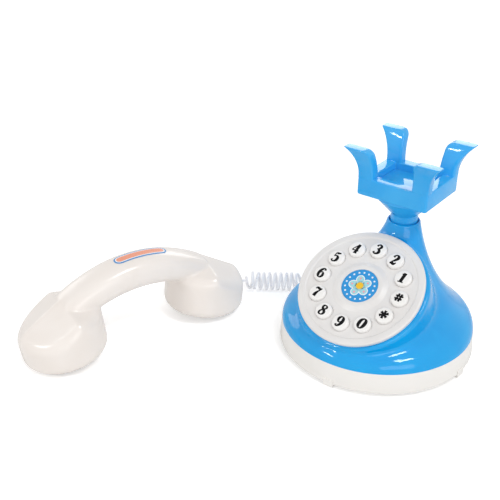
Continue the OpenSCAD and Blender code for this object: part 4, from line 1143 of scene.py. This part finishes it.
# %% White world
WHITE = (1, 1, 1, 1)
world = bpy.data.worlds.new("white_studio")
scene.world = world
world.use_nodes = True
tree = world.node_tree
ray = add_node(tree, "ShaderNodeLightPath").outputs
seen = add_node(
    tree, "ShaderNodeMath", {0: ray["Is Camera Ray"], 1: ray["Is Glossy Ray"]}, operation="MAXIMUM")
seen = add_node(
    tree, "ShaderNodeMath", {0: seen.outputs[0], 1: ray["Is Transmission Ray"]}, operation="MAXIMUM")
upward = add_node(
    tree, "ShaderNodeSeparateXYZ", {0: add_node(tree, "ShaderNodeTexCoord").outputs["Generated"]})
overhead = add_node(
    tree, "ShaderNodeMapRange", {"Value": upward.outputs["Z"], "To Min": 0.88, "To Max": 0.34})
level = add_node(
    tree, "ShaderNodeMapRange",
    {"Value": seen.outputs[0], "To Min": overhead.outputs["Result"], "To Max": 1.0})
set_inputs(tree, tree.nodes["Background"], {"Strength": level.outputs["Result"], "Color": WHITE})
print("made", world.name)

# %% White floor
paper_floor, tree, shader = new_material("white_paper_sheet", Roughness=0.9, Specular_IOR_Level=0.1)
place = add_node(tree, "ShaderNodeTexCoord").outputs["Object"]
fibre = add_node(tree, "ShaderNodeTexNoise", {"Vector": place, "Scale": PER_METRE / 2, "Detail": 3.0})
tint = add_node(
    tree, "ShaderNodeMix", {"Factor": fibre.outputs["Fac"], "A": linear("#f6f6f6"), "B": linear("#f9f9f9")},
    data_type="RGBA")
away = add_node(tree, "ShaderNodeVectorMath", {0: place}, operation="LENGTH")
glow = add_node(
    tree, "ShaderNodeMapRange",
    {"Value": away.outputs["Value"], "From Min": 0.35, "From Max": 1.3, "To Min": 0.32, "To Max": 0.60})
ray = add_node(tree, "ShaderNodeLightPath").outputs
lift = add_node(
    tree, "ShaderNodeMath", {0: ray["Is Camera Ray"], 1: glow.outputs["Result"]}, operation="MULTIPLY")
set_inputs(tree, shader, {
    "Base Color": tint.outputs["Result"], "Emission Strength": lift.outputs[0], "Emission Color": WHITE})
floor_half, floor_drop = 3, 0.2 * MM
bm = bmesh.new()
bmesh.ops.create_grid(bm, x_segments=2, y_segments=2, size=floor_half)
bmesh.ops.translate(bm, vec=(0, 0, -floor_drop), verts=bm.verts)
mesh = bpy.data.meshes.new("white_floor")
bm.to_mesh(mesh)
bm.free()
mesh.materials.append(paper_floor)
floor = add_object("white_floor", mesh)
print("floor", 2 * floor_half, "m across")

# %% Lamps
def soft_box(name, place, aim, width, height, power):
    """A rectangular lamp that looks at a point."""
    lamp = bpy.data.lights.new(name, "AREA")
    lamp.shape = "RECTANGLE"
    lamp.size, lamp.size_y, lamp.energy = width, height, power
    box = add_object(name, lamp)
    box.location = place
    box.rotation_euler = (Vector(aim) - Vector(place)).to_track_quat("-Z", "Y").to_euler()


soft_box("soft_box_left", (-0.45, -0.60, 0.80), (0, 0, 0.05), 0.14, 0.14, 0.3)
soft_box("soft_box_right", (0.50, -0.07, 1.00), (0, 0, 0.05), 0.28, 0.17, 3.1)
soft_box("front_fill", (0.82, -0.58, 0.45), (0, 0, 0.05), 0.70, 0.50, 1.9)
soft_box("strip_in_front", (-0.43, -0.88, 0.57), (0, 0, 0.08), 0.22, 0.04, 1.4)
soft_box("white_card_behind", (-0.38, 0.78, 0.47), (0, 0.02, 0.09), 0.48, 0.34, 1.4)
soft_box("white_card_left", (-1.45, 0.06, 0.58), (0, 0, 0.03), 0.50, 0.50, 1.5)
